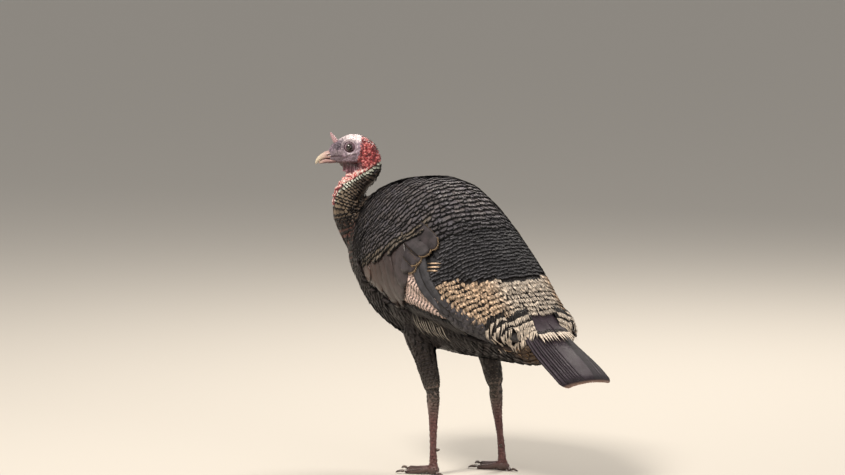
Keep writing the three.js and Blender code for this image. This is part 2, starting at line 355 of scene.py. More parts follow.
class Form:
    """A smooth closed surface that says where it is and which way it faces."""

    def __init__(self, nodes: Sequence[str], voxel: float = 0.0032) -> None:
        """Remeshes copies of the nodes and keeps only a search tree of them.

        Args:
            nodes: the CAD nodes that give the shape.
            voxel: the size of a cell, in metres.
        """
        shell = remeshed(joined_copy("form", nodes), voxel, 6)
        points = points_of(shell)
        faces = [tuple(face.vertices) for face in shell.data.polygons]
        self.tree = BVHTree.FromPolygons([Vector(p) for p in points], faces)
        data = shell.data
        bpy.data.objects.remove(shell)
        bpy.data.meshes.remove(data)

    def nearest(self, points: Array) -> tuple[Array, Array]:
        """Finds the nearest places on the surface, and its normals there.

        Args:
            points: the places.

        Returns:
            The places and the normals.
        """
        found = [self.tree.find_nearest(Vector(p)) for p in points]
        places = np.array([hit[0] for hit in found]).reshape(-1, 3)
        return places, np.array([hit[1] for hit in found]).reshape(-1, 3)

    def seen(self, points: Array, directions: Array, reach: float = 420) -> tuple[Array, Array]:
        """Looks back along rays from outside and finds where the surface first shows.

        Args:
            points: where the rays leave the inside, one row each.
            directions: which way they leave.
            reach: how far out each look starts.

        Returns:
            The places, with not-a-number rows where nothing is met, and the normals.
        """
        rays = unit(directions)
        starts = points + rays * reach
        places = np.full(points.shape, np.nan)
        normals = np.tile(UP, (len(points), 1)).astype(float)
        for i, (start, ray) in enumerate(zip(starts, rays)):
            place, normal, _, _ = self.tree.ray_cast(Vector(start), Vector(-ray), reach * 1.2)
            if place is not None:
                places[i] = place
                normals[i] = normal
        return places, normals


# ---------------------------------------------------------------- feathers


@dataclass(frozen=True)
class VaneCut:
    """The outline and section of one kind of feather, scale or scute.

    Attributes:
        rows: points along it.
        columns: points across it.
        root: its width at the quill as a share of its full width.
        tip: its width at the tip as a share of its full width.
        rounding: how far the tip's corners are drawn back, as a share of its length.
        cup: how far its edges turn down, as a share of its half width.
        thick: its thickness in the middle, in millimetres.
        belly: where it is widest, as a share of its length.
        roll: how far its edge nearer the bird's midline is raised, as a share of its half width.
    """

    rows: int = 6
    columns: int = 5
    root: float = 0.4
    tip: float = 0.82
    rounding: float = 0.26
    cup: float = 0.14
    thick: float = 0.4
    belly: float = 0.55
    roll: float = 0.0

    def grid(self) -> tuple[Array, Array]:
        """Lists each point's place along and across, both as flat arrays.

        Returns:
            The places along and across.
        """
        along = np.linspace(0, 1, self.rows) ** 0.85
        across = np.linspace(-1, 1, self.columns)
        if self.columns > 3:
            across = np.sign(across) * np.abs(across) ** 0.85
        t, c = np.meshgrid(along, across, indexing="ij")
        return t.ravel(), c.ravel()

    def half_width(self, t: Array) -> Array:
        """Gives the half width along the vane as a share of the full half width.

        Args:
            t: places along the vane, from 0 to 1.

        Returns:
            The shares.
        """
        rise = self.root + (1 - self.root) * np.sin(np.clip(t / self.belly, 0, 1) * math.pi / 2)
        past = np.clip((t - self.belly) / (1 - self.belly), 0, 1)
        return np.where(t < self.belly, rise, 1 - (1 - self.tip) * past**2)

    def faces(self) -> tuple[Array, int, Array]:
        """Builds one closed vane's quads, its point count and the lower points' sources.

        Returns:
            The quads, the count and the sources.
        """
        rows, columns = self.rows, self.columns
        top = np.arange(rows * columns).reshape(rows, columns)
        below = top.copy()
        inner = top[1:-1, 1:-1]
        below[1:-1, 1:-1] = rows * columns + np.arange(inner.size).reshape(inner.shape)
        upper = np.stack([top[:-1, :-1], top[1:, :-1], top[1:, 1:], top[:-1, 1:]], -1)
        lower = np.stack([below[:-1, :-1], below[:-1, 1:], below[1:, 1:], below[1:, :-1]], -1)
        quads = np.concatenate([upper.reshape(-1, 4), lower.reshape(-1, 4)])
        return quads, rows * columns + inner.size, inner.ravel()


@dataclass
class Quills:
    """Where a group of feathers lies, how large each is and how it is marked.

    Attributes:
        spine: four points along each feather, on the form.
        normal: the form's normal at each of them.
        length: each feather's length.
        width: each feather's width.
        place: each root's place on an unwrap of the skin, from 0 to 1.
        tint: each feather's colour.
        mark: three values that each feather's material reads.
        root_lift: the root's height over the form, below it where negative.
        tip_lift: the tip's height over the form.
    """

    spine: Array
    normal: Array
    length: Array
    width: Array
    place: Array
    tint: Array
    mark: Array
    root_lift: Array
    tip_lift: Array

    def mirrored(self) -> "Quills":
        """Gives the same feathers on the bird's other side."""
        flip = np.array([-1.0, 1.0, 1.0])
        return Quills(
            self.spine * flip, self.normal * flip, self.length, self.width, self.place,
            self.tint, self.mark, self.root_lift, self.tip_lift,
        )


def through_four(share: Array) -> Array:
    """Weights of the curve through four even points, for each share of the way.

    Args:
        share: shares of the way, from 0 to 1.

    Returns:
        Four weights to a share.
    """
    t = share[:, None] * 3
    others = {0: (1, 2, 3), 1: (0, 2, 3), 2: (0, 1, 3), 3: (0, 1, 2)}
    columns = []
    for i, rest in others.items():
        columns.append(np.prod([(t[:, 0] - j) / (i - j) for j in rest], axis=0))
    return np.stack(columns, axis=1)


class VaneMesh:
    """One mesh that gathers many vanes and prongs, with their maps and marks."""

    def __init__(self) -> None:
        """Starts with nothing in it."""
        self.points: list[Array] = []
        self.quads: list[Array] = []
        self.triangles: list[Array] = []
        self.vane: list[Array] = []
        self.bake: list[Array] = []
        self.tint: list[Array] = []
        self.mark: list[Array] = []
        self.count = 0

    def add(
        self, points: Array, faces: Array, vane: Array, bake: Array, tint: Array, mark: Array
    ) -> None:
        """Takes in ready points with their faces, maps and marks.

        Args:
            points: rows of places.
            faces: quads or triangles that count from this batch's first point.
            vane: each point's place across and along its vane.
            bake: each point's place on the unwrap.
            tint: each point's colour.
            mark: each point's three marks.
        """
        held = self.quads if faces.shape[1] == 4 else self.triangles
        held.append(faces + self.count)
        self.points.append(points)
        self.vane.append(vane)
        self.bake.append(bake)
        self.tint.append(tint)
        self.mark.append(mark)
        self.count += len(points)

    def lay(self, quills: Quills, cut: VaneCut, patch: float) -> None:
        """Lays a closed vane on each quill.

        Args:
            quills: where the feathers lie.
            cut: their outline and section.
            patch: the width of each one's patch on the unwrap.
        """
        t, c = cut.grid()
        drawn = t * (1 - cut.rounding * np.abs(c) ** 2.2 * t**3)
        weights = through_four(drawn)
        spots = np.einsum("vk,nkd->nvd", weights, quills.spine)
        normals = unit(np.einsum("vk,nkd->nvd", weights, quills.normal))
        ahead = np.einsum("vk,nkd->nvd", through_four(drawn + 0.03), quills.spine)
        side = unit(np.cross(normals, unit(ahead - spots)))
        half = cut.half_width(t)[None, :, None] * (quills.width / 2)[:, None, None]
        across = c[None, :, None]
        span = (quills.tip_lift - quills.root_lift)[:, None] * drawn[None, :] ** 1.15
        tilt = cut.roll * np.sign(quills.spine[:, 0, 0])[:, None, None] * across
        height = (quills.root_lift[:, None] + span)[..., None] + (tilt - cut.cup * across**2) * half
        top = spots + side * half * across + normals * height
        quads, size, inner = cut.faces()
        sunk = top[:, inner] - normals[:, inner] * cut.thick
        points = np.concatenate([top, sunk], axis=1)
        vane = np.stack([c / 2 + 0.5, drawn], axis=1)
        vane = np.concatenate([vane, vane[inner]])
        number = len(quills.length)
        step = (np.arange(number) * size)[:, None, None]
        flat = np.tile(vane, (number, 1, 1))
        bake = quills.place[:, None, :] + (flat - 0.5) * patch
        self.add(
            points.reshape(-1, 3),
            (quads[None] + step).reshape(-1, 4),
            flat.reshape(-1, 2),
            bake.reshape(-1, 2),
            np.repeat(quills.tint, size, axis=0),
            np.repeat(quills.mark, size, axis=0),
        )

    def spikes(
        self, feet: Array, away: Array, length: Array, radius: Array, place: Array,
        tint: Array, bend: Array | None = None,
    ) -> None:
        """Adds thin three-sided tapering bristles.

        Args:
            feet: where each stands.
            away: which way each points.
            length: how long each is.
            radius: how thick each is at its foot.
            place: each one's place on the unwrap.
            tint: each one's colour.
            bend: how far each tip is carried off, or none.
        """
        number = len(feet)
        away = unit(away)
        helper = np.where(np.abs(away[:, 2:3]) > 0.9, [[1.0, 0, 0]], [[0, 0, 1.0]])
        side = unit(np.cross(away, helper))
        front = np.cross(away, side)
        carried = np.zeros((number, 3)) if bend is None else bend
        rings = []
        for share, thickness in ((0.0, 1.0), (0.55, 0.7), (1.0, 0.06)):
            middle = feet + away * (length * share)[:, None] + carried * share**2
            for turn in (0.0, 2.094, 4.189):  # thirds of a turn
                reach = (radius * thickness)[:, None]
                rings.append(middle + (side * math.cos(turn) + front * math.sin(turn)) * reach)
        points = np.stack(rings, axis=1)
        sides = [[0, 1, 4, 3], [1, 2, 5, 4], [2, 0, 3, 5], [3, 4, 7, 6], [4, 5, 8, 7], [5, 3, 6, 8]]
        step = (np.arange(number) * 9)[:, None, None]
        vane = np.tile([[0.5, 0.0]] * 3 + [[0.5, 0.55]] * 3 + [[0.5, 1.0]] * 3, (number, 1, 1))
        bake = place[:, None, :] + (vane - 0.5) * 0.003
        sides_all = (np.array(sides)[None] + step).reshape(-1, 4)
        ends = (np.array([[2, 1, 0], [6, 7, 8]])[None] + step).reshape(-1, 3)
        self.add(
            points.reshape(-1, 3), sides_all, vane.reshape(-1, 2), bake.reshape(-1, 2),
            np.repeat(tint, 9, axis=0), np.zeros((number * 9, 3)),
        )
        self.triangles.append(ends + self.count - number * 9)

    def fringe(
        self, quills: Quills, cut: VaneCut, prongs: int, length: float, seed: int, width: float
    ) -> None:
        """Lets loose barbs hang past the feathers' tips as thin closed prongs.

        Args:
            quills: the feathers that carry them.
            cut: the feathers' outline.
            prongs: how many each feather has.
            length: how long a prong is.
            seed: fixes the draws.
            width: how wide a prong is at its foot.
        """
        rng = np.random.default_rng(seed)
        number = len(quills.length)
        c = np.linspace(-0.92, 0.92, prongs)[None] + rng.uniform(-0.5, 0.5, (number, prongs)) * 1.2 / prongs
        c = np.clip(c, -0.98, 0.98)
        flat = (0.97 - cut.rounding * np.abs(c) ** 2.2).ravel()
        owner = np.repeat(np.arange(number), prongs)
        weights = through_four(flat)
        spots = np.einsum("vk,vkd->vd", weights, quills.spine[owner])
        normals = unit(np.einsum("vk,vkd->vd", weights, quills.normal[owner]))
        ahead = np.einsum("vk,vkd->vd", through_four(flat + 0.03), quills.spine[owner])
        forward = unit(ahead - spots)
        side = np.cross(normals, forward)
        half = cut.tip * quills.width[owner] / 2
        across = c.ravel()
        height = quills.tip_lift[owner] - cut.cup * half * across**2
        foot = spots + side * (half * across)[:, None] + normals * height[:, None]
        lean = across * 0.35 + rng.normal(0, 0.12, len(across))
        away = unit(forward + side * lean[:, None] - normals * 0.12)
        long = length * rng.uniform(0.55, 1.15, len(across))
        wide = (width * rng.uniform(0.7, 1.2, len(across)))[:, None]
        points = np.stack([
            foot - side * wide / 2, foot + side * wide / 2,
            foot + away * long[:, None], foot - normals * 0.3,
        ], axis=1)
        faces = np.array([[0, 2, 1], [0, 3, 2], [2, 3, 1], [1, 3, 0]])
        step = (np.arange(len(owner)) * 4)[:, None, None]
        vane = np.empty((len(owner), 4, 2))
        vane[..., 0] = (across / 2 + 0.5)[:, None]
        vane[..., 1] = [1.05, 1.05, 1.5, 1.05]
        bake = quills.place[owner][:, None, :] + (np.minimum(vane, 1.0) - 0.5) * 0.004
        self.add(
            points.reshape(-1, 3), (faces[None] + step).reshape(-1, 3),
            vane.reshape(-1, 2), bake.reshape(-1, 2),
            np.repeat(quills.tint[owner], 4, axis=0), np.repeat(quills.mark[owner], 4, axis=0),
        )

    def to_object(self, name: str) -> Object:
        """Makes one smooth-shaded object of all that was laid.

        Args:
            name: the piece's name.

        Returns:
            The new object, at the origin.
        """
        points = AXES.to_frame(np.concatenate(self.points))
        quads = np.concatenate(self.quads) if self.quads else np.empty((0, 4), int)
        triangles = np.concatenate(self.triangles) if self.triangles else np.empty((0, 3), int)
        corners = np.concatenate([quads.ravel(), triangles.ravel()]).astype(np.int32)
        sizes = np.concatenate([np.full(len(quads), 4), np.full(len(triangles), 3)]).astype(np.int32)
        mesh = bpy.data.meshes.new(name)
        mesh.vertices.add(len(points))
        mesh.vertices.foreach_set("co", points.astype(np.float32).ravel())
        mesh.loops.add(len(corners))
        mesh.loops.foreach_set("vertex_index", corners)
        mesh.polygons.add(len(sizes))
        starts = np.concatenate([[0], np.cumsum(sizes)[:-1]]).astype(np.int32)
        mesh.polygons.foreach_set("loop_start", starts)
        mesh.polygons.foreach_set("use_smooth", np.ones(len(sizes), bool))
        mesh.update(calc_edges=True)
        for title, rows in (("vane", self.vane), ("OFBake", self.bake)):
            layer = mesh.uv_layers.new(name=title)
            values = np.concatenate(rows)[corners]
            if title == "OFBake":
                values = np.clip(values, 0, 1)
            layer.data.foreach_set("uv", values.astype(np.float32).ravel())
        obj = bpy.data.objects.new(name, mesh)
        bpy.context.collection.objects.link(obj)
        paint(obj, "tint", np.concatenate(self.tint))
        paint(obj, "mark", np.concatenate(self.mark))
        LOG.info("%s: %d triangles", name, len(quads) * 2 + len(triangles))
        return obj


def feathered(
    name: str, slot: Slot, material: Material, *layers: tuple[Quills, VaneCut, float]
) -> Object:
    """Makes one finished piece of feathers.

    Args:
        name: the piece's name.
        slot: the record's slot; not used.
        material: what it is dressed in.
        layers: feathers, their cut and the width of their patches on the unwrap.

    Returns:
        The piece.
    """
    mesh = VaneMesh()
    for layer in layers:
        mesh.lay(*layer)
    return finish_piece(mesh.to_object(name), material)


def follow(
    form: Form, roots: Array, lies: Array, lengths: Array, pull: Array | None = None
) -> tuple[Array, Array]:
    """Walks from each root along the surface and keeps four points of the way.

    Args:
        form: the surface.
        roots: where the feathers start.
        lies: which way they start.
        lengths: how far they go.
        pull: a direction that the way bends towards, or none.

    Returns:
        The points and the normals, four to a feather.
    """
    place, normal = form.nearest(roots)
    way = unit(lies - (lies * normal).sum(1, keepdims=True) * normal)
    places, normals = [place], [normal]
    for _ in range(3):
        if pull is not None:
            way = unit(way + pull)
        place, fresh = form.nearest(place + way * (lengths / 3)[:, None])
        normal = unit(normal * 0.35 + fresh)
        way = unit(way - (way * normal).sum(1, keepdims=True) * normal)
        places.append(place)
        normals.append(normal)
    return np.stack(places, axis=1), np.stack(normals, axis=1)


@dataclass
class Roots:
    """Root places of one tract before their feathers are drawn.

    Attributes:
        at: where each root is on the form.
        lie: which way each feather points.
        place: each one's place on the unwrap.
        row: each one's row number.
    """

    at: Array
    lie: Array
    place: Array
    row: Array

    def kept(self, wanted: Array) -> "Roots":
        """Keeps the wanted roots only."""
        return Roots(self.at[wanted], self.lie[wanted], self.place[wanted], self.row[wanted])

    def gaps(self) -> Array:
        """Measures how far each root stands behind the row before it, along its lie.

        Returns:
            The distances.
        """
        found = np.full(len(self.at), np.nan)
        for row in np.unique(self.row)[1:]:
            here, before = np.nonzero(self.row == row)[0], np.nonzero(self.row == row - 1)[0]
            if len(before):
                away = self.at[here][:, None] - self.at[before][None]
                nearest = np.argmin(np.linalg.norm(away, axis=2), axis=1)
                steps = away[np.arange(len(here)), nearest]
                straight = np.abs((steps * self.lie[here]).sum(axis=1))
                size = np.linalg.norm(steps, axis=1)
                found[here] = size**2 / np.maximum(straight, 0.45 * size)
        usual = np.nanmedian(found)
        return np.clip(np.where(np.isnan(found), usual, found), 0.7 * usual, 2.0 * usual)

    def spaced(self, gap: float) -> "Roots":
        """Drops roots that stand closer than a gap to one already kept.

        Args:
            gap: the least distance apart.

        Returns:
            The roots that are left.
        """
        tree = KDTree(len(self.at))
        for i, spot in enumerate(self.at):
            tree.insert(Vector(spot), i)
        tree.balance()
        wanted = np.ones(len(self.at), bool)
        for i, spot in enumerate(self.at):
            if wanted[i]:
                for _, j, _ in tree.find_range(Vector(spot), gap):
                    if j > i:
                        wanted[j] = False
        return self.kept(wanted)


def rows_over(
    form: Form,
    centres: Array,
    outs: Callable[[int, Array], tuple[Array, Array]],
    turns: Array,
    pitch: Array,
    along: Array,
    flow: float,
) -> Roots:
    """Sets roots in staggered rows round a tract.

    Args:
        form: the surface that they stand on.
        centres: one row's centre each, used only for the unwrap's count.
        outs: gives, for a row, the ray origins and directions at the turns.
        turns: the angles that each row is sampled at, from one side to the other.
        pitch: the distance between roots in each row.
        along: a rough way of the lie at each row.
        flow: how far the lie leans from square-on-the-row towards that way, 0 to 1.

    Returns:
        The roots of all rows.
    """
    ats, lies, places, numbers = [], [], [], []
    for i in range(len(centres)):
        origins, rays = outs(i, turns)
        hits, normals = form.seen(origins, rays)
        fine = ~np.isnan(hits[:, 0])
        if fine.sum() < 8:
            continue
        hits, normals, angles = hits[fine], normals[fine], turns[fine]
        way = way_along(hits)
        middle = np.interp(0, angles, way)
        first = math.ceil((way[0] - middle) / pitch[i])
        last = math.floor((way[-1] - middle) / pitch[i])
        stops = (np.arange(first, last + 1) + 0.5 * (i % 2)) * pitch[i] + middle
        stops = stops[(stops > way[0]) & (stops < way[-1])]
        at = read_along(stops, way, hits)
        facing = unit(read_along(stops, way, normals))
        tangent = np.stack([np.gradient(hits[:, k], way) for k in range(3)], axis=1)
        tangent = read_along(stops, way, tangent)
        across = unit(np.cross(facing, tangent))
        across *= np.sign((across @ along[i]))[:, None]
        straight = along[i] - (facing @ along[i])[:, None] * facing
        ats.append(at)
        lies.append(unit(across * (1 - flow) + unit(straight) * flow))
        angle = np.interp(stops, way, angles)
        u = (angle - turns[0]) / (turns[-1] - turns[0])
        places.append(np.stack([0.02 + 0.96 * u, np.full(len(u), (i + 0.5) / len(centres))], 1))
        numbers.append(np.full(len(u), i))
    return Roots(
        np.concatenate(ats), np.concatenate(lies), np.concatenate(places), np.concatenate(numbers)
    )


def rays_round(
    centres: Array, run: Array, facing: Array
) -> Callable[[int, Array], tuple[Array, Array]]:
    """Makes the function that casts rows of rays round a middle line.

    Args:
        centres: each row's centre on the line.
        run: the line's direction there.
        facing: where angle zero looks.

    Returns:
        The function, which takes a row's number and its angles.
    """

    def outs(i: int, angles: Array) -> tuple[Array, Array]:
        """Gives one row's rays.

        Args:
            i: the row's number.
            angles: the angles that it is sampled at.

        Returns:
            The rays' origins and directions.
        """
        front = unit(facing - (facing @ run[i]) * run[i])
        left = np.cross(front, run[i])
        rays = np.outer(np.cos(angles), front) + np.outer(np.sin(angles), left)
        return np.tile(centres[i], (len(angles), 1)), rays

    return outs


def waver(points: Array, size: float, seed: int) -> Array:
    """Gives a chance value from -1 to 1 that changes smoothly over about a size.

    Args:
        points: the places.
        size: how far apart its crests are.
        seed: fixes the draws.

    Returns:
        A value to each place.
    """
    rng = np.random.default_rng(seed)
    ways = unit(rng.normal(size=(5, 3))) * (2 * math.pi / size) * rng.uniform(0.7, 1.5, (5, 1))
    return np.clip(np.sin(points @ ways.T + rng.uniform(0, 6, 5)).mean(axis=1) * 1.9, -1, 1)


def plumed(
    form: Form,
    roots: Roots,
    length: Array,
    width: Array,
    tint: Array,
    mark: Array,
    rng: np.random.Generator,
    lifts: tuple[float, float] = (-3.2, 0.6),
    pull: Array | None = None,
    unruly: float = 0.05,
    wave: float = 0.0,
) -> Quills:
    """Draws feathers from their roots, each a little unlike the next.

    Args:
        form: the surface that they follow.
        roots: where they start.
        length: their lengths.
        width: their widths.
        tint: their colours.
        mark: their marks.
        rng: the source of the draws.
        lifts: the heights of root and tip over the form.
        pull: a direction that bends their way, or none.
        unruly: how far their directions stray, in radians.
        wave: how far the rows wave to and fro along the lie.

    Returns:
        The feathers.
    """
    number = len(roots.at)
    shift = waver(roots.at + 19.0 * roots.row[:, None], 26.0, 3) * wave
    sideways = np.cross(roots.lie, form.nearest(roots.at)[1])
    lie = unit(roots.lie + sideways * rng.normal(0, unruly, number)[:, None])
    spine, normal = follow(form, roots.at + roots.lie * shift[:, None], lie, length, pull)
    return Quills(
        spine, normal, length, width * rng.uniform(0.93, 1.07, number), roots.place,
        tint * rng.uniform(0.86, 1.14, number)[:, None], mark,
        np.full(number, lifts[0]) + rng.normal(0, 0.1, number),
        np.full(number, lifts[1]) + rng.uniform(-0.15, 0.2, number),
    )


# ---------------------------------------------------------------- finishes


class Graph:
    """Adds nodes to a material or a node group in few words."""

    def __init__(self, tree: NodeTree) -> None:
        """Holds the tree that the nodes go into."""
        self.tree = tree

    def node(
        self, kind: str, inputs: dict[str | int, object] | None = None, **settings: object
    ) -> Node:
        """Adds a node, sets its values and links its sockets.

        Args:
            kind: the node's type.
            inputs: a value or a socket for each named or numbered input.
            settings: the node's own settings.

        Returns:
            The new node.
        """
        made = self.tree.nodes.new(kind)
        for name, value in settings.items():
            setattr(made, name, value)
        for name, value in (inputs or {}).items():
            if isinstance(value, NodeSocket):
                self.tree.links.new(value, made.inputs[name])
            elif isinstance(value, tuple) and len(value) == 3 and made.inputs[name].type == "RGBA":
                made.inputs[name].default_value = (*value, 1.0)
            else:
                made.inputs[name].default_value = value
        return made

    def math(
        self, operation: str, a: object, b: object = 0.0, c: float = 0.0, clamp: bool = False
    ) -> NodeSocket:
        """Adds a sum, product or the like of two or three values and gives its socket."""
        made = self.node("ShaderNodeMath", {0: a, 1: b, 2: c}, operation=operation, use_clamp=clamp)
        return made.outputs[0]

    def times(self, a: object, b: object, clamp: bool = False) -> NodeSocket:
        """Multiplies two values."""
        return self.math("MULTIPLY", a, b, clamp=clamp)

    def mix(self, share: object, a: object, b: object, kind: str = "MIX") -> NodeSocket:
        """Adds a mix of two colours and gives its socket."""
        made = self.node("ShaderNodeMix", {0: share, 6: a, 7: b}, data_type="RGBA", blend_type=kind)
        return made.outputs[2]

    def step(
        self, value: object, start: object, end: object, low: float = 0.0, high: float = 1.0
    ) -> NodeSocket:
        """Adds a soft step of a value between two limits and gives its socket."""
        made = self.node(
            "ShaderNodeMapRange",
            {"Value": value, "From Min": start, "From Max": end, "To Min": low, "To Max": high},
            interpolation_type="SMOOTHSTEP",
        )
        return made.outputs[0]

    def noise(
        self, scale: float, detail: float = 2.0, vector: object = None, rough: float = 0.5
    ) -> NodeSocket:
        """Adds a noise and gives its value's socket.

        Args:
            scale: how fine it is.
            detail: how many finer layers it has.
            vector: where it is read, or none for the piece's own place.
            rough: how strong the finer layers are.

        Returns:
            The socket.
        """
        where = vector or self.node("ShaderNodeTexCoord").outputs["Object"]
        given = {"Vector": where, "Scale": scale, "Detail": detail, "Roughness": rough}
        return self.node("ShaderNodeTexNoise", given).outputs[0]

    def feed(self, shader: Node, **given: object) -> None:
        """Sets a shader's sockets, named with _ for a space, to constants or links.

        Args:
            shader: the shader.
            given: a value or a socket for each.
        """
        for name, value in given.items():
            socket = shader.inputs[name.replace("_", " ")]
            if isinstance(value, NodeSocket):
                self.tree.links.new(value, socket)
            else:
                socket.default_value = value

    def grey(self, value: object) -> NodeSocket:
        """Makes a grey of one value."""
        return self.node("ShaderNodeCombineXYZ", {0: value, 1: value, 2: value}).outputs[0]

    def attribute(self, name: str, output: str = "Color") -> NodeSocket:
        """Reads a painted attribute and gives its socket."""
        return self.node("ShaderNodeAttribute", attribute_name=name).outputs[output]


def new_group(
    name: str, inputs: dict[str, float], outputs: Sequence[str]
) -> tuple[NodeTree, Graph, Node, Node]:
    """Makes an empty shader group with number sockets.

    Args:
        name: the group's name.
        inputs: each input's name and its usual value.
        outputs: the outputs' names.

    Returns:
        The group, its graph, its input node and its output node.
    """
    tree = bpy.data.node_groups.new(name, "ShaderNodeTree")
    for title, value in inputs.items():
        socket = tree.interface.new_socket(title, in_out="INPUT", socket_type="NodeSocketFloat")
        socket.default_value = value
    for title in outputs:
        tree.interface.new_socket(title, in_out="OUTPUT", socket_type="NodeSocketFloat")
    graph = Graph(tree)
    return tree, graph, graph.node("NodeGroupInput"), graph.node("NodeGroupOutput")


def new_material(name: str) -> tuple[Material, Graph, Node]:
    """Makes a material and gives it, its graph and its shader.

    Args:
        name: its name.

    Returns:
        The material, its graph and its shader.
    """
    made = bpy.data.materials.new(name)
    made.use_nodes = True
    return made, Graph(made.node_tree), made.node_tree.nodes["Principled BSDF"]


def vane_group() -> NodeTree:
    """Gives the group that finds a feather's edge, shaft and barbs from its own map.

    Returns:
        The group, which is built once and shared by all the plumage.
    """
    if "vane_marks" in bpy.data.node_groups:
        return bpy.data.node_groups["vane_marks"]
    tree, g, given, out = new_group(
        "vane_marks",
        {"Edge From": 0.8, "Side From": 0.9, "Barbs": 44.0, "Ragged": 0.05},
        ("Along", "Side", "Edge", "Shaft", "Barb", "Loose"),
    )
    edge_from, side_from, barbs, ragged = (given.outputs[i] for i in range(4))
    uv = g.node("ShaderNodeUVMap", uv_map="vane").outputs[0]
    split = g.node("ShaderNodeSeparateXYZ", {0: uv})
    along = split.outputs[1]
    side = g.math("ABSOLUTE", g.math("MULTIPLY_ADD", split.outputs[0], 2.0, -1.0))
    wander = g.times(g.math("SUBTRACT", g.noise(260.0), 0.5), ragged)
    lean = g.times(g.math("POWER", side, 3.0), 0.06)
    reach = g.math("ADD", g.math("ADD", along, lean), wander)
    tip = g.step(reach, edge_from, g.math("ADD", edge_from, 0.05))
    rim = g.step(g.math("ADD", side, wander), side_from, g.math("ADD", side_from, 0.1))
    rim = g.times(rim, g.step(along, 0.25, 0.5))
    slant = g.times(g.math("SUBTRACT", along, g.times(side, 0.3)), barbs)
    jitter = g.times(g.noise(150.0, 1.0), 1.2)
    barb = g.math("SINE", g.times(g.math("ADD", slant, jitter), TURN))
    for name, value in (
        ("Along", along), ("Side", side), ("Edge", g.math("MAXIMUM", tip, rim)),
        ("Shaft", g.step(side, 0.1, 0.02)), ("Barb", g.math("MULTIPLY_ADD", barb, 0.5, 0.5)),
        ("Loose", g.step(along, 1.01, 1.04)),
    ):
        tree.links.new(value, out.inputs[name])
    return tree


@dataclass(frozen=True)
class Plumage:
    """The finish of one kind of feather; its main colour is painted on the piece.

    Attributes:
        name: the material's name.
        edge: the colour of its tip and rims.
        edge_from: where the tip's edge starts along the vane.
        side_from: where the rim starts across it, past 1 for none.
        arc: the colour of a thin line inside the edge.
        arc_at: where that line runs along the vane.
        bar: the colour of the bars.
        bars: how many bars a feather has.
        fringe: the colour of the loose barbs at the tip.
        base: how much painted shade darkens the hidden root, where the row before lies over it.
        streak: how strongly the barbs streak the colour.
        mottle: how strongly the colour is clouded.
        rough: its roughness.
        coat: its gloss.
        bump: how deep its barbs are.
        barbs: barb lines along a feather.
        ragged: how uneven the edge is.
        specular: how strongly it mirrors light without its gloss.
    """

    name: str
    edge: Colour = (0.008, 0.007, 0.007)
    edge_from: float = 0.8
    side_from: float = 0.86
    arc: Colour = (0.2, 0.19, 0.2)
    arc_at: tuple[float, float] = (0.0, 0.0)
    bar: Colour = (0.01, 0.009, 0.009)
    bars: float = 6.0
    fringe: Colour = (0.75, 0.68, 0.6)
    base: float = 0.75
    streak: float = 0.3
    mottle: float = 0.5
    rough: float = 0.5
    coat: float = 0.12
    bump: float = 0.35
    barbs: float = 44.0
    ragged: float = 0.05
    specular: float = 0.3

    def material(self) -> Material:
        """Builds the material.

        Returns:
            The material.
        """
        made, g, shader = new_material(self.name)
        given = {
            "Edge From": self.edge_from, "Side From": self.side_from,
            "Barbs": self.barbs, "Ragged": self.ragged,
        }
        vane = g.node("ShaderNodeGroup", node_tree=vane_group())
        for name, value in given.items():
            vane.inputs[name].default_value = value
        along, side, barb = vane.outputs["Along"], vane.outputs["Side"], vane.outputs["Barb"]
        mark = g.node("ShaderNodeSeparateColor", {0: g.attribute("mark")})
        clouds = g.step(g.noise(70.0, 3.0), 0.3, 0.7, 1 - self.mottle * 0.5, 1 + self.mottle * 0.4)
        lines = g.step(barb, 0.0, 1.0, 1 - self.streak * 0.6, 1 + self.streak * 0.4)
        # painted shade: each feather is darker towards its root, where the row before lies over it
        hidden = g.step(along, 0.0, 0.55, 1 - self.base, 1.0)
        shade = g.times(g.times(clouds, lines), hidden)
        colour = g.mix(1.0, g.attribute("tint"), g.grey(shade), "MULTIPLY")
        wave = g.times(g.math("ADD", along, g.times(side, -0.05)), self.bars * TURN)
        wave = g.math("SINE", g.math("ADD", wave, g.times(g.noise(160.0), 5.0)))
        bars = g.times(g.step(wave, 0.1, 0.45), mark.outputs[0])
        bars = g.times(bars, g.step(side, 0.02, 0.2, 0.4, 1.0))
        colour = g.mix(bars, colour, self.bar)
        colour = g.mix(g.times(vane.outputs["Edge"], mark.outputs[1], clamp=True), colour, self.edge)
        low, high = self.arc_at
        arc = g.times(g.step(along, low, low + 0.03), g.step(along, high + 0.03, high))
        colour = g.mix(g.times(arc, mark.outputs[2], clamp=True), colour, self.arc)
        colour = g.mix(g.times(vane.outputs["Shaft"], 0.35), colour, (0.03, 0.025, 0.022))
        colour = g.mix(vane.outputs["Loose"], colour, self.fringe)
        rough = g.step(g.noise(45.0), 0.2, 0.8, self.rough - 0.08, self.rough + 0.12)
        height = g.math("ADD", barb, g.times(vane.outputs["Shaft"], 1.6))
        bump = g.node("ShaderNodeBump", {"Strength": self.bump, "Distance": 0.0004, "Height": height})
        g.feed(
            shader, Base_Color=colour, Roughness=rough, Normal=bump.outputs[0], Coat_Weight=self.coat,
            Coat_Roughness=0.35, Specular_IOR_Level=self.specular,
        )
        return made


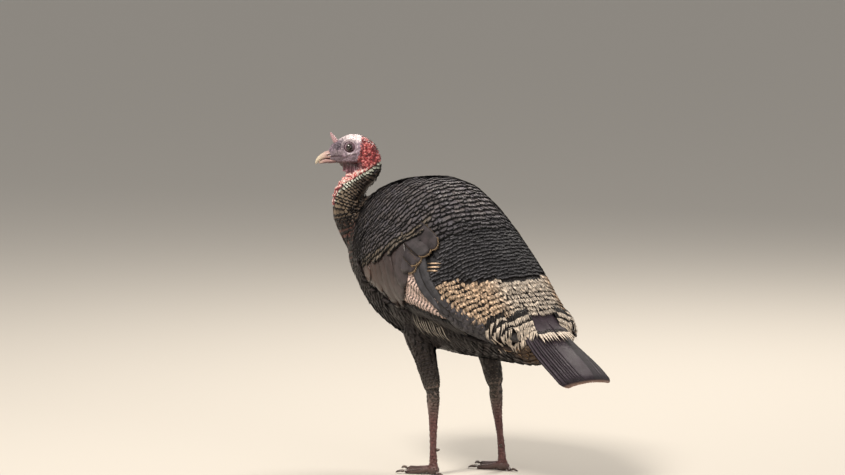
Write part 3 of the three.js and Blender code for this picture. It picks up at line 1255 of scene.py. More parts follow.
@dataclass(frozen=True)
class Hide:
    """The finish of bare skin, horn or scale whose main colour is painted on the piece.

    Attributes:
        name: the material's name.
        grain: the size of its fine grain, as a noise scale.
        mottle: how strongly the colour is clouded.
        spots: how strongly small dark flecks show.
        rough: its roughness.
        coat: its gloss.
        bump: how deep its grain is.
        stretch: how the grain is drawn out on each axis.
    """

    name: str
    grain: float = 900.0
    mottle: float = 0.4
    spots: float = 0.0
    rough: float = 0.5
    coat: float = 0.15
    bump: float = 0.4
    stretch: Colour = (1.0, 1.0, 1.0)

    def material(self) -> Material:
        """Builds the material.

        Returns:
            The material.
        """
        made, g, shader = new_material(self.name)
        where = g.node("ShaderNodeTexCoord").outputs["Object"]
        where = g.node("ShaderNodeMapping", {"Vector": where, "Scale": self.stretch}).outputs[0]
        fine = g.noise(self.grain, 3.0, where, 0.6)
        broad = g.noise(self.grain / 7, 3.0, where)
        clouds = g.math("ADD", g.times(fine, 0.45), g.times(broad, 0.55))
        shade = g.step(clouds, 0.3, 0.7, 1 - self.mottle * 0.6, 1 + self.mottle * 0.4)
        colour = g.mix(1.0, g.attribute("tint"), g.grey(shade), "MULTIPLY")
        if self.spots:
            fleck = g.step(g.noise(self.grain / 2.2, 1.0, where), 0.62, 0.7)
            colour = g.mix(g.times(fleck, self.spots), colour, (0.05, 0.02, 0.03))
        rough = g.step(broad, 0.2, 0.8, self.rough - 0.1, self.rough + 0.12)
        height = g.math("ADD", fine, g.times(broad, 0.8))
        bump = g.node("ShaderNodeBump", {"Strength": self.bump, "Distance": 0.0006, "Height": height})
        g.feed(
            shader, Base_Color=colour, Roughness=rough, Normal=bump.outputs[0], Coat_Weight=self.coat,
            Coat_Roughness=0.3,
        )
        return made


@dataclass(frozen=True)
class EyeFinish:
    """A wet brown eye; the painted mark gives the distance from the pupil's middle."""

    pupil: float = 0.30
    iris: float = 0.68

    def material(self) -> Material:
        """Builds the material.

        Returns:
            The material.
        """
        made, g, shader = new_material("eye_wet")
        away = g.node("ShaderNodeSeparateColor", {0: g.attribute("mark")}).outputs[0]
        rays = g.step(g.noise(1500.0), 0.3, 0.7)
        iris = g.mix(rays, (0.010, 0.005, 0.003), (0.032, 0.014, 0.007))
        inside = g.step(away, self.pupil - 0.02, self.pupil + 0.02)
        colour = g.mix(inside, (0.002, 0.002, 0.002), iris)
        colour = g.mix(g.step(away, self.iris - 0.05, self.iris), colour, (0.012, 0.008, 0.007))
        g.feed(shader, Base_Color=colour, Roughness=0.12, Coat_Weight=1.0, Coat_Roughness=0.03)
        return made


# ---------------------------------------------------------------- markings


SLATE = np.array([0.135, 0.122, 0.142])
OLIVE = np.array([0.19, 0.155, 0.12])
RUMP_BLACK = np.array([0.018, 0.018, 0.021])
CREAM = np.array([0.98, 0.70, 0.48])
PALE_CREAM = np.array([1.0, 0.85, 0.70])
BLACKISH = np.array([0.028, 0.020, 0.019])
BRONZE = np.array([0.058, 0.030, 0.021])
TERTIAL = np.array([0.150, 0.145, 0.165])
TAIL_SLATE = np.array([0.046, 0.033, 0.045])
LILAC = (0.36, 0.265, 0.33)
CROWN_WHITE = (0.90, 0.76, 0.78)
LORE_BLACK = (0.05, 0.03, 0.05)
CHEEK_PALE = (0.66, 0.52, 0.57)
GAPE_SHADE = (0.06, 0.012, 0.02)
EYE_RING = (0.72, 0.58, 0.62)
NAPE_RED, NAPE_BLUSH_AND_HIGHLIGHT = (0.30, 0.012, 0.018), (0.84, 0.26, 0.24)
THROAT_MAROON, WATTLE_MAUVE = (0.085, 0.025, 0.03), (0.40, 0.20, 0.25)
KNOB_RED, KNOB_PALE, CREASE_RED = (0.60, 0.10, 0.10), (0.92, 0.74, 0.66), (0.24, 0.014, 0.022)
SOCKET_BROWN = (0.10, 0.045, 0.04)


def middle_height(y: Array) -> Array:
    """Gives the height of the trunk's middle line."""
    return np.interp(y, TRUNK_Y, TRUNK_MIDDLE)


def back_reach(points: Array) -> Array:
    """Says how far back the feather row through each place crosses the midline."""
    turn = np.arctan2(np.abs(points[:, 0]), points[:, 2] - middle_height(points[:, 1]))
    return points[:, 1] + ROW_SWEEP * (95 * np.minimum(turn, 1.5)) ** 2


ROW_SWEEP = 0.0041  # how far rows run forward down the sides, by the square of the way
RUMP_FROM, COVERTS_FROM, COVERTS_TO = 30.0, 150.0, 214.0


def coat_colour(points: Array) -> Array:
    """Colours places on the coat by where they are, for the skin under it.

    Args:
        points: the places.

    Returns:
        A colour to each place.
    """
    reach = back_reach(points)
    above = points[:, 2] > middle_height(points[:, 1]) - 20
    colour = np.tile(BLACKISH, (len(points), 1))
    colour = blend(colour, SLATE * 0.5, above & (reach < RUMP_FROM))
    colour = blend(colour, RUMP_BLACK, above & (reach >= RUMP_FROM))
    colour = blend(colour, CREAM * 0.35, above & (reach > COVERTS_FROM) & (reach < COVERTS_TO))
    colour = blend(colour, TAIL_SLATE, points[:, 1] > 215)
    wing = (np.abs(points[:, 0]) > 84) & (points[:, 1] > -190) & (points[:, 2] > 300)
    return blend(colour, BRONZE * 0.5, wing & (points[:, 1] < -20) & (points[:, 2] < 380))


# ---------------------------------------------------------------- the skin


FLESH = (
    "head", "neck_upper", "neck_lower", "trunk", "tail_coverts", "tail", "left_wing", "right_wing",
    "left_thigh", "right_thigh", "left_shank", "right_shank", "left_foot", "right_foot",
)


def neck_line() -> tuple[Array, Array]:
    """Gives the neck's middle line from the head down, and its radii."""
    rows = np.array(NECK, float)
    return head_point(rows[:, 0], np.zeros(len(rows)), rows[:, 1]), rows[:, 2]


def bare_line(points: Array) -> Array:
    """Says how far each place on the neck lies above the feathers' upper border.

    Args:
        points: the places.

    Returns:
        The heights.
    """
    f, side, u = head_local(points).T
    slanted = u - (-79.0 - 0.64 * (f - 26.0))
    middle = np.interp(-u, [62, 80, 102, 128], [-18, -4, 2, -5])
    front = smooth_step(f - middle - 0.6 * np.abs(side), 6, 24) * smooth_step(u, -116, -100)
    return np.maximum(slanted, front * 44 - 26)


def neck_share(points: Array) -> Array:
    """Gives each place's distance from the neck's middle line, in neck radii."""
    line, radius = neck_line()
    return np.min(np.linalg.norm(points[:, None] - line[None], axis=2) / radius, axis=1)


@dataclass
class Warts:
    """Small fleshy knobs that swell the bare skin.

    Attributes:
        seed: fixes the draws.
        crown: how many sit on the crown and face.
        nape: how many sit on the nape.
        throat: how many sit on the front of the neck.
    """

    seed: int = 5
    crown: int = 420
    nape: int = 300
    throat: int = 150

    def swell(self, points: Array) -> tuple[Array, Array]:
        """Finds how far each place of the skin swells and which kind of knob does it.

        Args:
            points: places on the bare skin.

        Returns:
            The heights in millimetres, and each place's share of knob, 0 to 1.
        """
        rng = np.random.default_rng(self.seed)
        f, _, u = head_local(points).T
        eye = np.hypot(f, u) < 13.5
        bare = bare_line(points) > 0
        gape = (f > 12) & (u < -8)
        zones = (
            (bare & (f > -20) & (u > -30) & ~eye & ~gape, self.crown, (1.0, 1.9), 0.42),
            (bare & (f < -14) & (u > -52) & ~eye, self.nape, (1.9, 3.4), 1.25),
            (bare & (u < -44), self.throat, (2.4, 4.6), 1.7),
        )
        height, share = np.zeros(len(points)), np.zeros(len(points))
        for wanted, number, sizes, rise in zones:
            spots = np.nonzero(wanted)[0]
            if len(spots) == 0:
                continue
            chosen = points[rng.choice(spots, number)]
            radius = rng.uniform(*sizes, number)
            tree = KDTree(number)
            for i, spot in enumerate(chosen):
                tree.insert(Vector(spot), i)
            tree.balance()
            for i in np.nonzero(bare & ~eye)[0]:
                _, j, gap = tree.find(Vector(points[i]))
                near = gap / radius[j]
                if near < 1.25:
                    dome = max(0.0, 1 - near**2)
                    height[i] += rise * radius[j] / sizes[1] * dome - rise * 0.28 * (near > 0.85)
                    share[i] = max(share[i], dome)
        return height, share


@dataclass
class Skin:
    """One closed skin under the whole coat, with the folds of the head.

    Attributes:
        voxel: the size of its cells, in metres.
        body_share: how many of its faces the thinning keeps.
        coat_depth: how deep it lies under the body's feathers.
    """

    voxel: float = 0.002
    body_share: float = 0.34
    coat_depth: float = 5.0
    warts: Warts = field(default_factory=Warts)

    def build(self) -> Object:
        """Models, thins, sinks and paints the skin.

        Returns:
            The finished skin.
        """
        skin = remeshed(joined_copy("skin", FLESH), self.voxel, 5)
        self.thin(skin)
        self.refine(skin)
        self.sink(skin)
        self.fold(skin)
        shade_smooth(skin)
        hide = Hide("bare_hide", 1100.0, 0.35, 0.5, 0.46, 0.22, 0.5)
        LOG.info("skin: %d faces", len(skin.data.polygons))
        return finish_piece(skin, hide.material(), FLESH)

    def bare_zone(self, points: Array) -> Array:
        """Marks the head and the upper neck.

        Args:
            points: the places.

        Returns:
            Whether each place is bare or near it.
        """
        line, radius = neck_line()
        near = np.full(len(points), np.inf)
        for spot, reach in zip(line[:7], radius[:7]):
            near = np.minimum(near, np.linalg.norm(points - spot, axis=1) / reach)
        return ((near < 1.5) & (points[:, 2] > 436)) | (points[:, 2] > 532)

    def thin(self, skin: Object) -> None:
        """Thins the faces that feathers hide, and leaves the head and legs.

        Args:
            skin: the skin.
        """
        points = points_of(skin)
        hidden = (points[:, 2] > 185) & ~self.bare_zone(points)
        group = skin.vertex_groups.new(name="under_coat")
        group.add(np.nonzero(hidden)[0].tolist(), 1.0, "REPLACE")
        apply_modifier(
            skin, "DECIMATE", ratio=self.body_share, vertex_group="under_coat", vertex_group_factor=1.0
        )
        skin.vertex_groups.clear()

    def refine(self, skin: Object) -> None:
        """Splits the faces of the bare head so that its folds have room.

        Args:
            skin: the skin.
        """
        points = points_of(skin)
        fine = self.bare_zone(points) & (bare_line(points) > -10) & (points[:, 2] > 455)
        mesh = skin.data
        corners = np.empty(len(mesh.loops), np.int32)
        mesh.loops.foreach_get("vertex_index", corners)
        totals = np.empty(len(mesh.polygons), np.int32)
        mesh.polygons.foreach_get("loop_total", totals)
        owner = np.repeat(np.arange(len(totals)), totals)
        counts = np.bincount(owner, weights=fine[corners], minlength=len(totals))
        select_only(skin)
        bpy.ops.object.mode_set(mode="EDIT")
        bpy.ops.mesh.select_mode(type="FACE")
        bpy.ops.mesh.select_all(action="DESELECT")
        bpy.ops.object.mode_set(mode="OBJECT")
        mesh.polygons.foreach_set("select", counts == totals)
        bpy.ops.object.mode_set(mode="EDIT")
        bpy.ops.mesh.subdivide(number_cuts=1, smoothness=0.6)
        bpy.ops.object.mode_set(mode="OBJECT")

    def sink(self, skin: Object) -> None:
        """Sinks the skin by the depth of the coat, and draws its tail end in.

        Args:
            skin: the skin.
        """
        points, normals = points_of(skin), normals_of(skin)
        bare = bare_line(points)
        zone = self.bare_zone(points)
        neck = np.clip(2.2 * smooth_step(-bare, -2, 6), 0, 2.2)
        neck = neck + (self.coat_depth - 2.2) * smooth_step(-points[:, 2], -490, -440)
        depth = np.where(zone, neck, self.coat_depth)
        depth = depth * smooth_step(points[:, 2], 155, 225)
        depth = np.where(points[:, 2] < 215, np.maximum(depth, 0.7), depth)
        depth = np.where(points[:, 2] < 25, 0.25, depth)
        hind = smooth_step(points[:, 1], 120, 200) * smooth_step(-points[:, 1], -250, -225)
        depth = depth * (1 - 0.35 * hind)
        sunk = points - normals * depth[:, None]
        behind = smooth_step(points[:, 1], 215, 265)
        sunk[:, 0] *= 1 - 0.16 * behind
        sunk[:, 1] -= 0.12 * np.maximum(points[:, 1] - 250, 0)
        sunk[:, 2] += 0.09 * np.maximum(points[:, 1] - 250, 0)
        put_points(skin, sunk)

    def fold(self, skin: Object) -> None:
        """Raises the head's brow, folds and knobs, and paints every place.

        Args:
            skin: the skin.
        """
        points, normals = points_of(skin), normals_of(skin)
        f, side, u = head_local(points).T
        head = self.bare_zone(points) & (bare_line(points) > -8) & (u > -125)
        lift = np.zeros(len(points))
        eye = np.hypot(f / 1.05, u)
        flank = smooth_step(np.abs(side), 8, 14)
        lift -= 2.6 * flank * smooth_step(-eye, -13.5, -8.5)
        lift += 1.3 * flank * np.exp(-((np.hypot(f + 1, u - 2) - 14.5) / 2.6) ** 2) * (u > -4)
        lift += 0.9 * flank * np.exp(-(((u + 14 + 0.25 * f) / 2.2) ** 2)) * (f > -12) * (f < 22)
        lift -= 0.9 * flank * np.exp(-(((u + 18 + 0.3 * f) / 1.8) ** 2)) * (f > -14) * (f < 24)
        ear = np.hypot(f + 24, (u + 12) / 1.5)
        lift -= 2.4 * flank * np.exp(-((ear / 3.0) ** 2))
        throat = smooth_step(-u, 28, 40) * smooth_step(f, -24, -8) * (u > -66)
        lift += throat * 1.5 * np.sin(f * 0.95 + 0.06 * u)
        creases = smooth_step(-u, 50, 66) * smooth_step(u, -112, -96)
        lift += creases * np.sin(u * 0.62 + 0.25 * f)
        knobs, share = np.zeros(len(points)), np.zeros(len(points))
        spots = np.nonzero(head)[0]
        knobs[spots], share[spots] = self.warts.swell(points[spots])
        moved = points + normals * (np.where(head, lift, 0) + knobs)[:, None]
        put_points(skin, moved)
        paint(skin, "tint", self.colours(points, share, head))

    def colours(self, points: Array, share: Array, head: Array) -> Array:
        """Colours the skin by place.

        Args:
            points: the places.
            share: how much of a knob each place is.
            head: which places are on the bare head and neck.

        Returns:
            A colour for each.
        """
        rng = np.random.default_rng(9)
        f, side, u = head_local(points).T
        patchy = np.sin(f * 0.9 + 1.3 * np.sin(u * 0.7)) * np.sin(u * 0.8 + 1.7 * np.sin(side * 0.9))
        patchy = patchy * 0.5 + 0.5  # clouds from 0 to 1
        colour = blend(LILAC, CROWN_WHITE, smooth_step(u - 0.1 * f + 4 * patchy, 8, 17))
        lores = np.exp(-(((f - 20) / 11) ** 2) - ((u - 2 + 0.4 * (f - 20)) / 8) ** 2)
        colour = blend(colour, LORE_BLACK, np.clip(lores * (0.6 + 0.9 * patchy), 0, 0.92))
        cheek = np.exp(-(((f - 22) / 12) ** 2) - ((u + 11) / 4.5) ** 2)
        colour = blend(colour, CHEEK_PALE, cheek * (0.3 + 0.6 * patchy))
        # painted shade: a dark line along the mouth's corner, where the bill meets the face
        gape = np.exp(-(((u + 17.5 - 0.08 * (30 - f)) / 1.1) ** 2))
        gape = gape * smooth_step(f, 8, 13) * (np.abs(side) > 4)
        colour = blend(colour, GAPE_SHADE, np.clip(gape * 1.2, 0, 1))
        ring = np.exp(-(((np.hypot(f, u) - 13.5) / 1.8) ** 2)) * smooth_step(patchy, 0.2, 0.7)
        colour = blend(colour, EYE_RING, ring * 0.7)
        # pinker knob domes on the nape: partly the knobs' own pink, partly painted highlight on the domes
        nape = blend(NAPE_RED, NAPE_BLUSH_AND_HIGHLIGHT, share * smooth_step(patchy, 0.25, 0.75))
        edge = -21.5 + 0.010 * (u - 4) ** 2 * (u < 4) + 6 * (patchy - 0.5)
        colour = blend(colour, nape, smooth_step(-f + edge, -2.0, 2.5) * smooth_step(u, -60, -40))
        colour = blend(colour, THROAT_MAROON, smooth_step(-u, 23, 30) * smooth_step(f, -32, -18))
        wattle = smooth_step(-u, 34, 44) * smooth_step(f, -20, -6)
        colour = blend(colour, WATTLE_MAUVE, wattle * (0.4 + 0.6 * patchy))
        # knob domes lighter than the red between them: partly the skin's own colours, partly painted
        # highlight on the domes
        knob = blend(KNOB_RED, KNOB_PALE, smooth_step(patchy, 0.2, 0.7))
        rose = blend(CREASE_RED, knob, smooth_step(share, 0.1, 0.75))
        colour = blend(colour, rose, smooth_step(-u - 0.35 * f, 44, 52))
        socket = np.hypot(f, u)
        colour = blend(colour, SOCKET_BROWN, smooth_step(-socket, -11.0, -8.0))
        # painted shade: bare skin between the knobs is darkened, the knobs' domes are not
        pit_shade = 1 - 0.45 * (share == 0) * head * (socket > 12)
        colour = colour * pit_shade[:, None]
        leg = leg_colour(points)
        coat = coat_colour(points) * rng.uniform(0.85, 1.1, len(points))[:, None]
        hind = smooth_step(points[:, 1], 172, 190) * smooth_step(-points[:, 2], -305, -290)
        hind = hind * (np.abs(points[:, 0]) > 26)
        coat = blend(coat, BLACKISH * 0.5, hind)
        feathered = blend(coat, (0.10, 0.075, 0.055), points[:, 2] > 440)
        below = blend(leg, coat, smooth_step(points[:, 2], 168, 190))
        body = np.where(self.bare_zone(points)[:, None], feathered, coat)
        body = np.where((points[:, 2] < 200)[:, None], below, body)
        return np.where((head & (bare_line(points) > -1.5))[:, None], colour, body)


def leg_colour(points: Array) -> Array:
    """Colours the legs from the grey-brown hock down to the rosy shank.

    Args:
        points: the places.

    Returns:
        A colour to each place.
    """
    rows = len(points)
    colour = np.tile([0.155, 0.062, 0.056], (rows, 1))
    colour = blend(colour, (0.135, 0.095, 0.078), smooth_step(points[:, 2], 92, 140))
    return blend(colour, (0.10, 0.06, 0.052), smooth_step(-points[:, 2], -20, -6))


# ---------------------------------------------------------------- the head


@dataclass
class Head:
    """The eyes with their lids, the bill, the snood, the ears and the bristles.

    Attributes:
        seed: fixes the draws.
        lid_steps: points round a lid.
    """

    seed: int = 17
    lid_steps: int = 40

    def build(self, form: Form) -> None:
        """Models and dresses everything on the head.

        Args:
            form: the surface that the feathers lie on.
        """
        wet = EyeFinish().material()
        lid_hide = Hide("lid_hide", 1500.0, 0.3, 0.3, 0.4, 0.3, 0.5).material()
        for name, sign in (("left", 1), ("right", -1)):
            self.eyeball(f"{name}_eyeball", sign, wet, f"{name}_eye")
            self.lids(f"{name}_lids", sign, lid_hide)
        self.bill()
        self.snood()
        self.bristles(form)

    def eyeball(self, name: str, sign: int, wet: Material, node: str) -> None:
        """Turns a ball in place of one eye and bulges its cornea.

        Args:
            name: the piece's name.
            sign: 1 for the left eye and -1 for the right.
            wet: its material.
            node: the CAD node it stands for.
        """
        bpy.ops.object.select_all(action="DESELECT")
        bpy.ops.mesh.primitive_uv_sphere_add(segments=48, ring_count=32, radius=EYE_RADIUS * MM)
        ball = bpy.context.object
        ball.name = ball.data.name = name
        local = np.array([v.co for v in ball.data.vertices]) / MM
        gaze = unit(HEAD_LEFT * sign + HEAD_FORWARD * 0.16)
        share = (local @ gaze) / EYE_RADIUS
        bulge = 0.5 * smooth_step(share, 0.72, 1.0)
        centre = head_point(0.0, EYE_SPREAD * sign, 0.0)
        put_points(ball, centre + local + gaze * bulge[:, None] * share[:, None])
        shade_smooth(ball)
        away = np.arccos(np.clip(share, -1, 1))
        paint(ball, "mark", np.repeat(away[:, None], 3, axis=1))
        finish_piece(ball, wet, [node])

    def lids(self, name: str, sign: int, hide: Material) -> None:
        """Wraps the rims and folds of the lids round one eye.

        Args:
            name: the piece's name.
            sign: 1 for the left eye and -1 for the right.
            hide: its material.
        """
        turn = np.linspace(0, 2 * math.pi, self.lid_steps, endpoint=False)
        # reach from the gaze, in radians, radius from the eye's middle, and colour
        rings = (
            (0.60, 7.2, (0.012, 0.007, 0.007)), (0.64, 8.25, (0.018, 0.009, 0.009)),
            (0.71, 8.7, (0.035, 0.016, 0.016)), (0.79, 8.5, (0.04, 0.02, 0.02)),
            (0.87, 8.75, (0.05, 0.025, 0.027)), (0.95, 8.4, (0.055, 0.028, 0.032)),
            (1.05, 8.85, (0.22, 0.15, 0.18)), (1.22, 8.85, (0.38, 0.29, 0.35)),
            (1.46, 8.6, (0.40, 0.31, 0.37)), (1.64, 8.1, (0.40, 0.31, 0.37)),
        )
        points, tints = [], []
        for reach, radius, tint in rings:
            tall = 1.0 + (0.10 if reach < 1.1 else 0.03) * np.abs(np.sin(turn))
            corner = 0.10 * np.exp(-((np.sin(turn / 2) / 0.22) ** 2)) * (reach < 1.1)
            angle = reach * (tall + corner)
            wrinkle = 0.10 * np.sin(turn * 11 + reach * 9) * (0.7 < reach < 1.3)
            out = np.cos(angle) * (radius + wrinkle)
            flat = np.sin(angle) * (radius + wrinkle)
            points.append(np.stack([flat * np.cos(turn), out * sign, flat * np.sin(turn)], axis=1))
            pale = smooth_step(np.abs(np.cos(turn)), 0.55, 0.95) * (reach > 0.75) * (reach < 1.2)
            tints.append(blend(tint, (0.30, 0.20, 0.25), 0.85 * pale))
        local = np.concatenate(points)
        world = head_point(local[:, 0], local[:, 1] + EYE_SPREAD * sign, local[:, 2])
        steps, count = self.lid_steps, len(rings)
        inner = world.reshape(count, steps, 3)
        centre = head_point(0.0, EYE_SPREAD * sign, 0.0)
        back = centre + (inner - centre) * 0.93
        grid = np.arange(count * steps).reshape(count, steps)
        behind = grid + count * steps
        faces = []
        for i in range(count - 1):
            for j in range(steps):
                k = (j + 1) % steps
                quad = [grid[i, j], grid[i, k], grid[i + 1, k], grid[i + 1, j]]
                under = [behind[i, j], behind[i + 1, j], behind[i + 1, k], behind[i, k]]
                faces += [quad, under]
        for j in range(steps):
            k = (j + 1) % steps
            faces.append([grid[0, k], grid[0, j], behind[0, j], behind[0, k]])
            faces.append([grid[-1, j], grid[-1, k], behind[-1, k], behind[-1, j]])
        mesh = bpy.data.meshes.new(name)
        places = AXES.to_frame(np.concatenate([world, back.reshape(-1, 3)]))
        mesh.from_pydata(places.tolist(), [], [[int(i) for i in face] for face in faces])
        lid = bpy.data.objects.new(name, mesh)
        bpy.context.collection.objects.link(lid)
        edit_all(lid, bpy.ops.mesh.normals_make_consistent, inside=False)
        paint(lid, "tint", np.concatenate([np.concatenate(tints)] * 2))
        shade_smooth(lid)
        finish_piece(lid, hide)

    def bill(self) -> None:
        """Smooths the two halves of the bill and cuts the nostrils and the ridge."""
        horn = Hide("bill_horn", 700.0, 0.22, 0.0, 0.34, 0.3, 0.25, (1.0, 1.0, 2.5)).material()
        for node in ("bill_upper", "bill_lower"):
            piece = remeshed(joined_copy(node + "_horn", [node], 0.0), 0.0007, 5)
            points, normals = points_of(piece), normals_of(piece)
            f, side, u = head_local(points).T
            tint = np.tile([0.60, 0.44, 0.36], (len(points), 1))
            if node == "bill_upper":
                ridge = np.exp(-((side / 1.6) ** 2)) * smooth_step(normals[:, 2], 0.3, 0.8)
                nostril = np.exp(-(((f - 38) / 3.4) ** 2) - ((u + 15.5 + 0.25 * (f - 38)) / 1.1) ** 2)
                nostril *= np.abs(side) > 3
                flap = np.exp(-(((f - 38) / 4.2) ** 2) - ((u + 12.7 + 0.25 * (f - 38)) / 1.7) ** 2)
                cere = smooth_step(-f, -49, -41)
                lift = 0.35 * ridge - 1.5 * nostril + 0.7 * flap * (np.abs(side) > 3) + 0.4 * cere
                tint = blend(tint, (0.66, 0.56, 0.42), smooth_step(f, 48, 58))
                tint = blend(tint, (0.48, 0.30, 0.28), cere * 0.85)
                # painted shade: the nostril's hollow is painted near black
                tint = blend(tint, (0.03, 0.015, 0.012), np.clip(nostril * 1.6, 0, 1))
            else:
                along = smooth_step(f, 34, 44) * smooth_step(-f, -66, -58)
                lift = np.where(normals[:, 2] > 0.2, 2.0, -1.3) * along * np.abs(normals[:, 2])
                tint = blend(tint, (0.46, 0.27, 0.25), smooth_step(-f, -58, -42))
                # painted shade: the lower half is darker where it faces down
                tint = blend(tint, (0.09, 0.03, 0.035), smooth_step(-normals[:, 2], -0.1, 0.5))
            # painted shade: both halves are darkened where they face each other along the gape
            gape = smooth_step(np.where(node == "bill_upper", -normals[:, 2], normals[:, 2]), 0.78, 0.95)
            tint = blend(tint, (0.07, 0.03, 0.03), gape * (f < 60))
            put_points(piece, points + normals * lift[:, None])
            paint(piece, "tint", tint)
            shade_smooth(piece)
            finish_piece(piece, horn, [node])

    def snood(self) -> None:
        """Smooths the snood and rings it with creases."""
        piece = remeshed(joined_copy("snood_flesh", ["snood"], 0.0002), 0.0006, 4)
        points, normals = points_of(piece), normals_of(piece)
        f, _, u = head_local(points).T
        creases = 0.17 * np.sin((u + 0.5 * f) * 1.9 + 1.4 * np.sin(f * 0.9) + 0.8 * np.sin(u * 0.7))
        put_points(piece, points + normals * creases[:, None])
        tint = blend((0.44, 0.24, 0.26), (0.62, 0.42, 0.43), smooth_step(creases, -0.1, 0.2))
        paint(piece, "tint", blend(tint, (0.25, 0.07, 0.08), smooth_step(u, 22, 30)))
        shade_smooth(piece)
        hide = Hide("snood_hide", 1300.0, 0.3, 0.25, 0.45, 0.25, 0.5)
        finish_piece(piece, hide.material(), ["snood"])

    def bristles(self, form: Form) -> None:
        """Plants black bristles on the brow, the nape and the ear openings.

        Args:
            form: the surface that they stand on.
        """
        rng = np.random.default_rng(self.seed)
        number = 2600
        f = rng.uniform(-52, 32, number)
        angle = rng.uniform(-math.pi, math.pi, number)
        u = rng.uniform(-95, 12, number)
        head = rng.random(number) < 0.62
        middle = np.where(head, -8, np.interp(-u, [40, 62, 80, 102], [-33, -18, -4, 2]))
        start = head_point(np.where(head, f, middle), 0 * f, np.where(head, -8, u))
        ring = HEAD_LEFT * np.sin(angle)[:, None]
        ray = ring + np.where(head[:, None], UP, HEAD_FORWARD) * np.cos(angle)[:, None]
        places, normals = form.seen(start, ray, 90)
        lf, _, lu = head_local(places).T
        brow = (lf > 14) & (lu > -16)
        nape = (lf < -20) & (rng.random(number) < 0.8)
        ear = np.hypot(lf + 24, lu + 12) < 6
        crown = (lu > 10) & (rng.random(number) < 0.18)
        throat = (lu < -40) & (rng.random(number) < 0.35)
        fine = ~np.isnan(lf) & (bare_line(np.nan_to_num(places)) > 1) & (lu > -92)
        fine &= (brow | nape | ear | crown | throat) & (np.hypot(lf, lu) > 14)
        places, normals, lf, lu = places[fine], normals[fine], lf[fine], lu[fine]
        back = -HEAD_FORWARD * 0.9 - UP * 0.5
        away = unit(normals + back * 0.75 + rng.normal(0, 0.18, places.shape))
        long = np.where(lf > 10, rng.uniform(2.2, 4.2, len(lf)), rng.uniform(2.4, 5.0, len(lf)))
        mesh = VaneMesh()
        place = np.stack([np.clip((lf + 60) / 100, 0, 1), np.clip((lu + 100) / 140, 0, 1)], axis=1)
        radius = rng.uniform(0.28, 0.42, len(lf))
        tint = np.tile([0.014, 0.010, 0.010], (len(lf), 1))
        mesh.spikes(places - normals * 0.6, away, long, radius, place, tint)
        hair = Hide("bristle_black", 900.0, 0.2, 0.0, 0.4, 0.1, 0.1)
        finish_piece(mesh.to_object("head_bristles"), hair.material())


# ---------------------------------------------------------------- plumage


def even_stops(profile: Callable[[Array], Array], start: float, end: float, pitch: float) -> Array:
    """Spaces stops along y so that they are even along a profile of the body.

    Args:
        profile: gives the height at each y.
        start: the first y.
        end: the last y.
        pitch: the distance between stops along the profile.

    Returns:
        The stops' y values.
    """
    y = np.linspace(start, end, 400)
    way = np.concatenate([[0], np.cumsum(np.hypot(np.diff(y), np.diff(profile(y))))])
    return np.interp(np.arange(0, way[-1], pitch), way, y)


def cream_edge(points: Array) -> Array:
    """Gives the stop along the back where the cream rows begin, later near the midline."""
    return np.interp(np.abs(points[:, 0]), (25, 78, 108), (141, 134, 117))


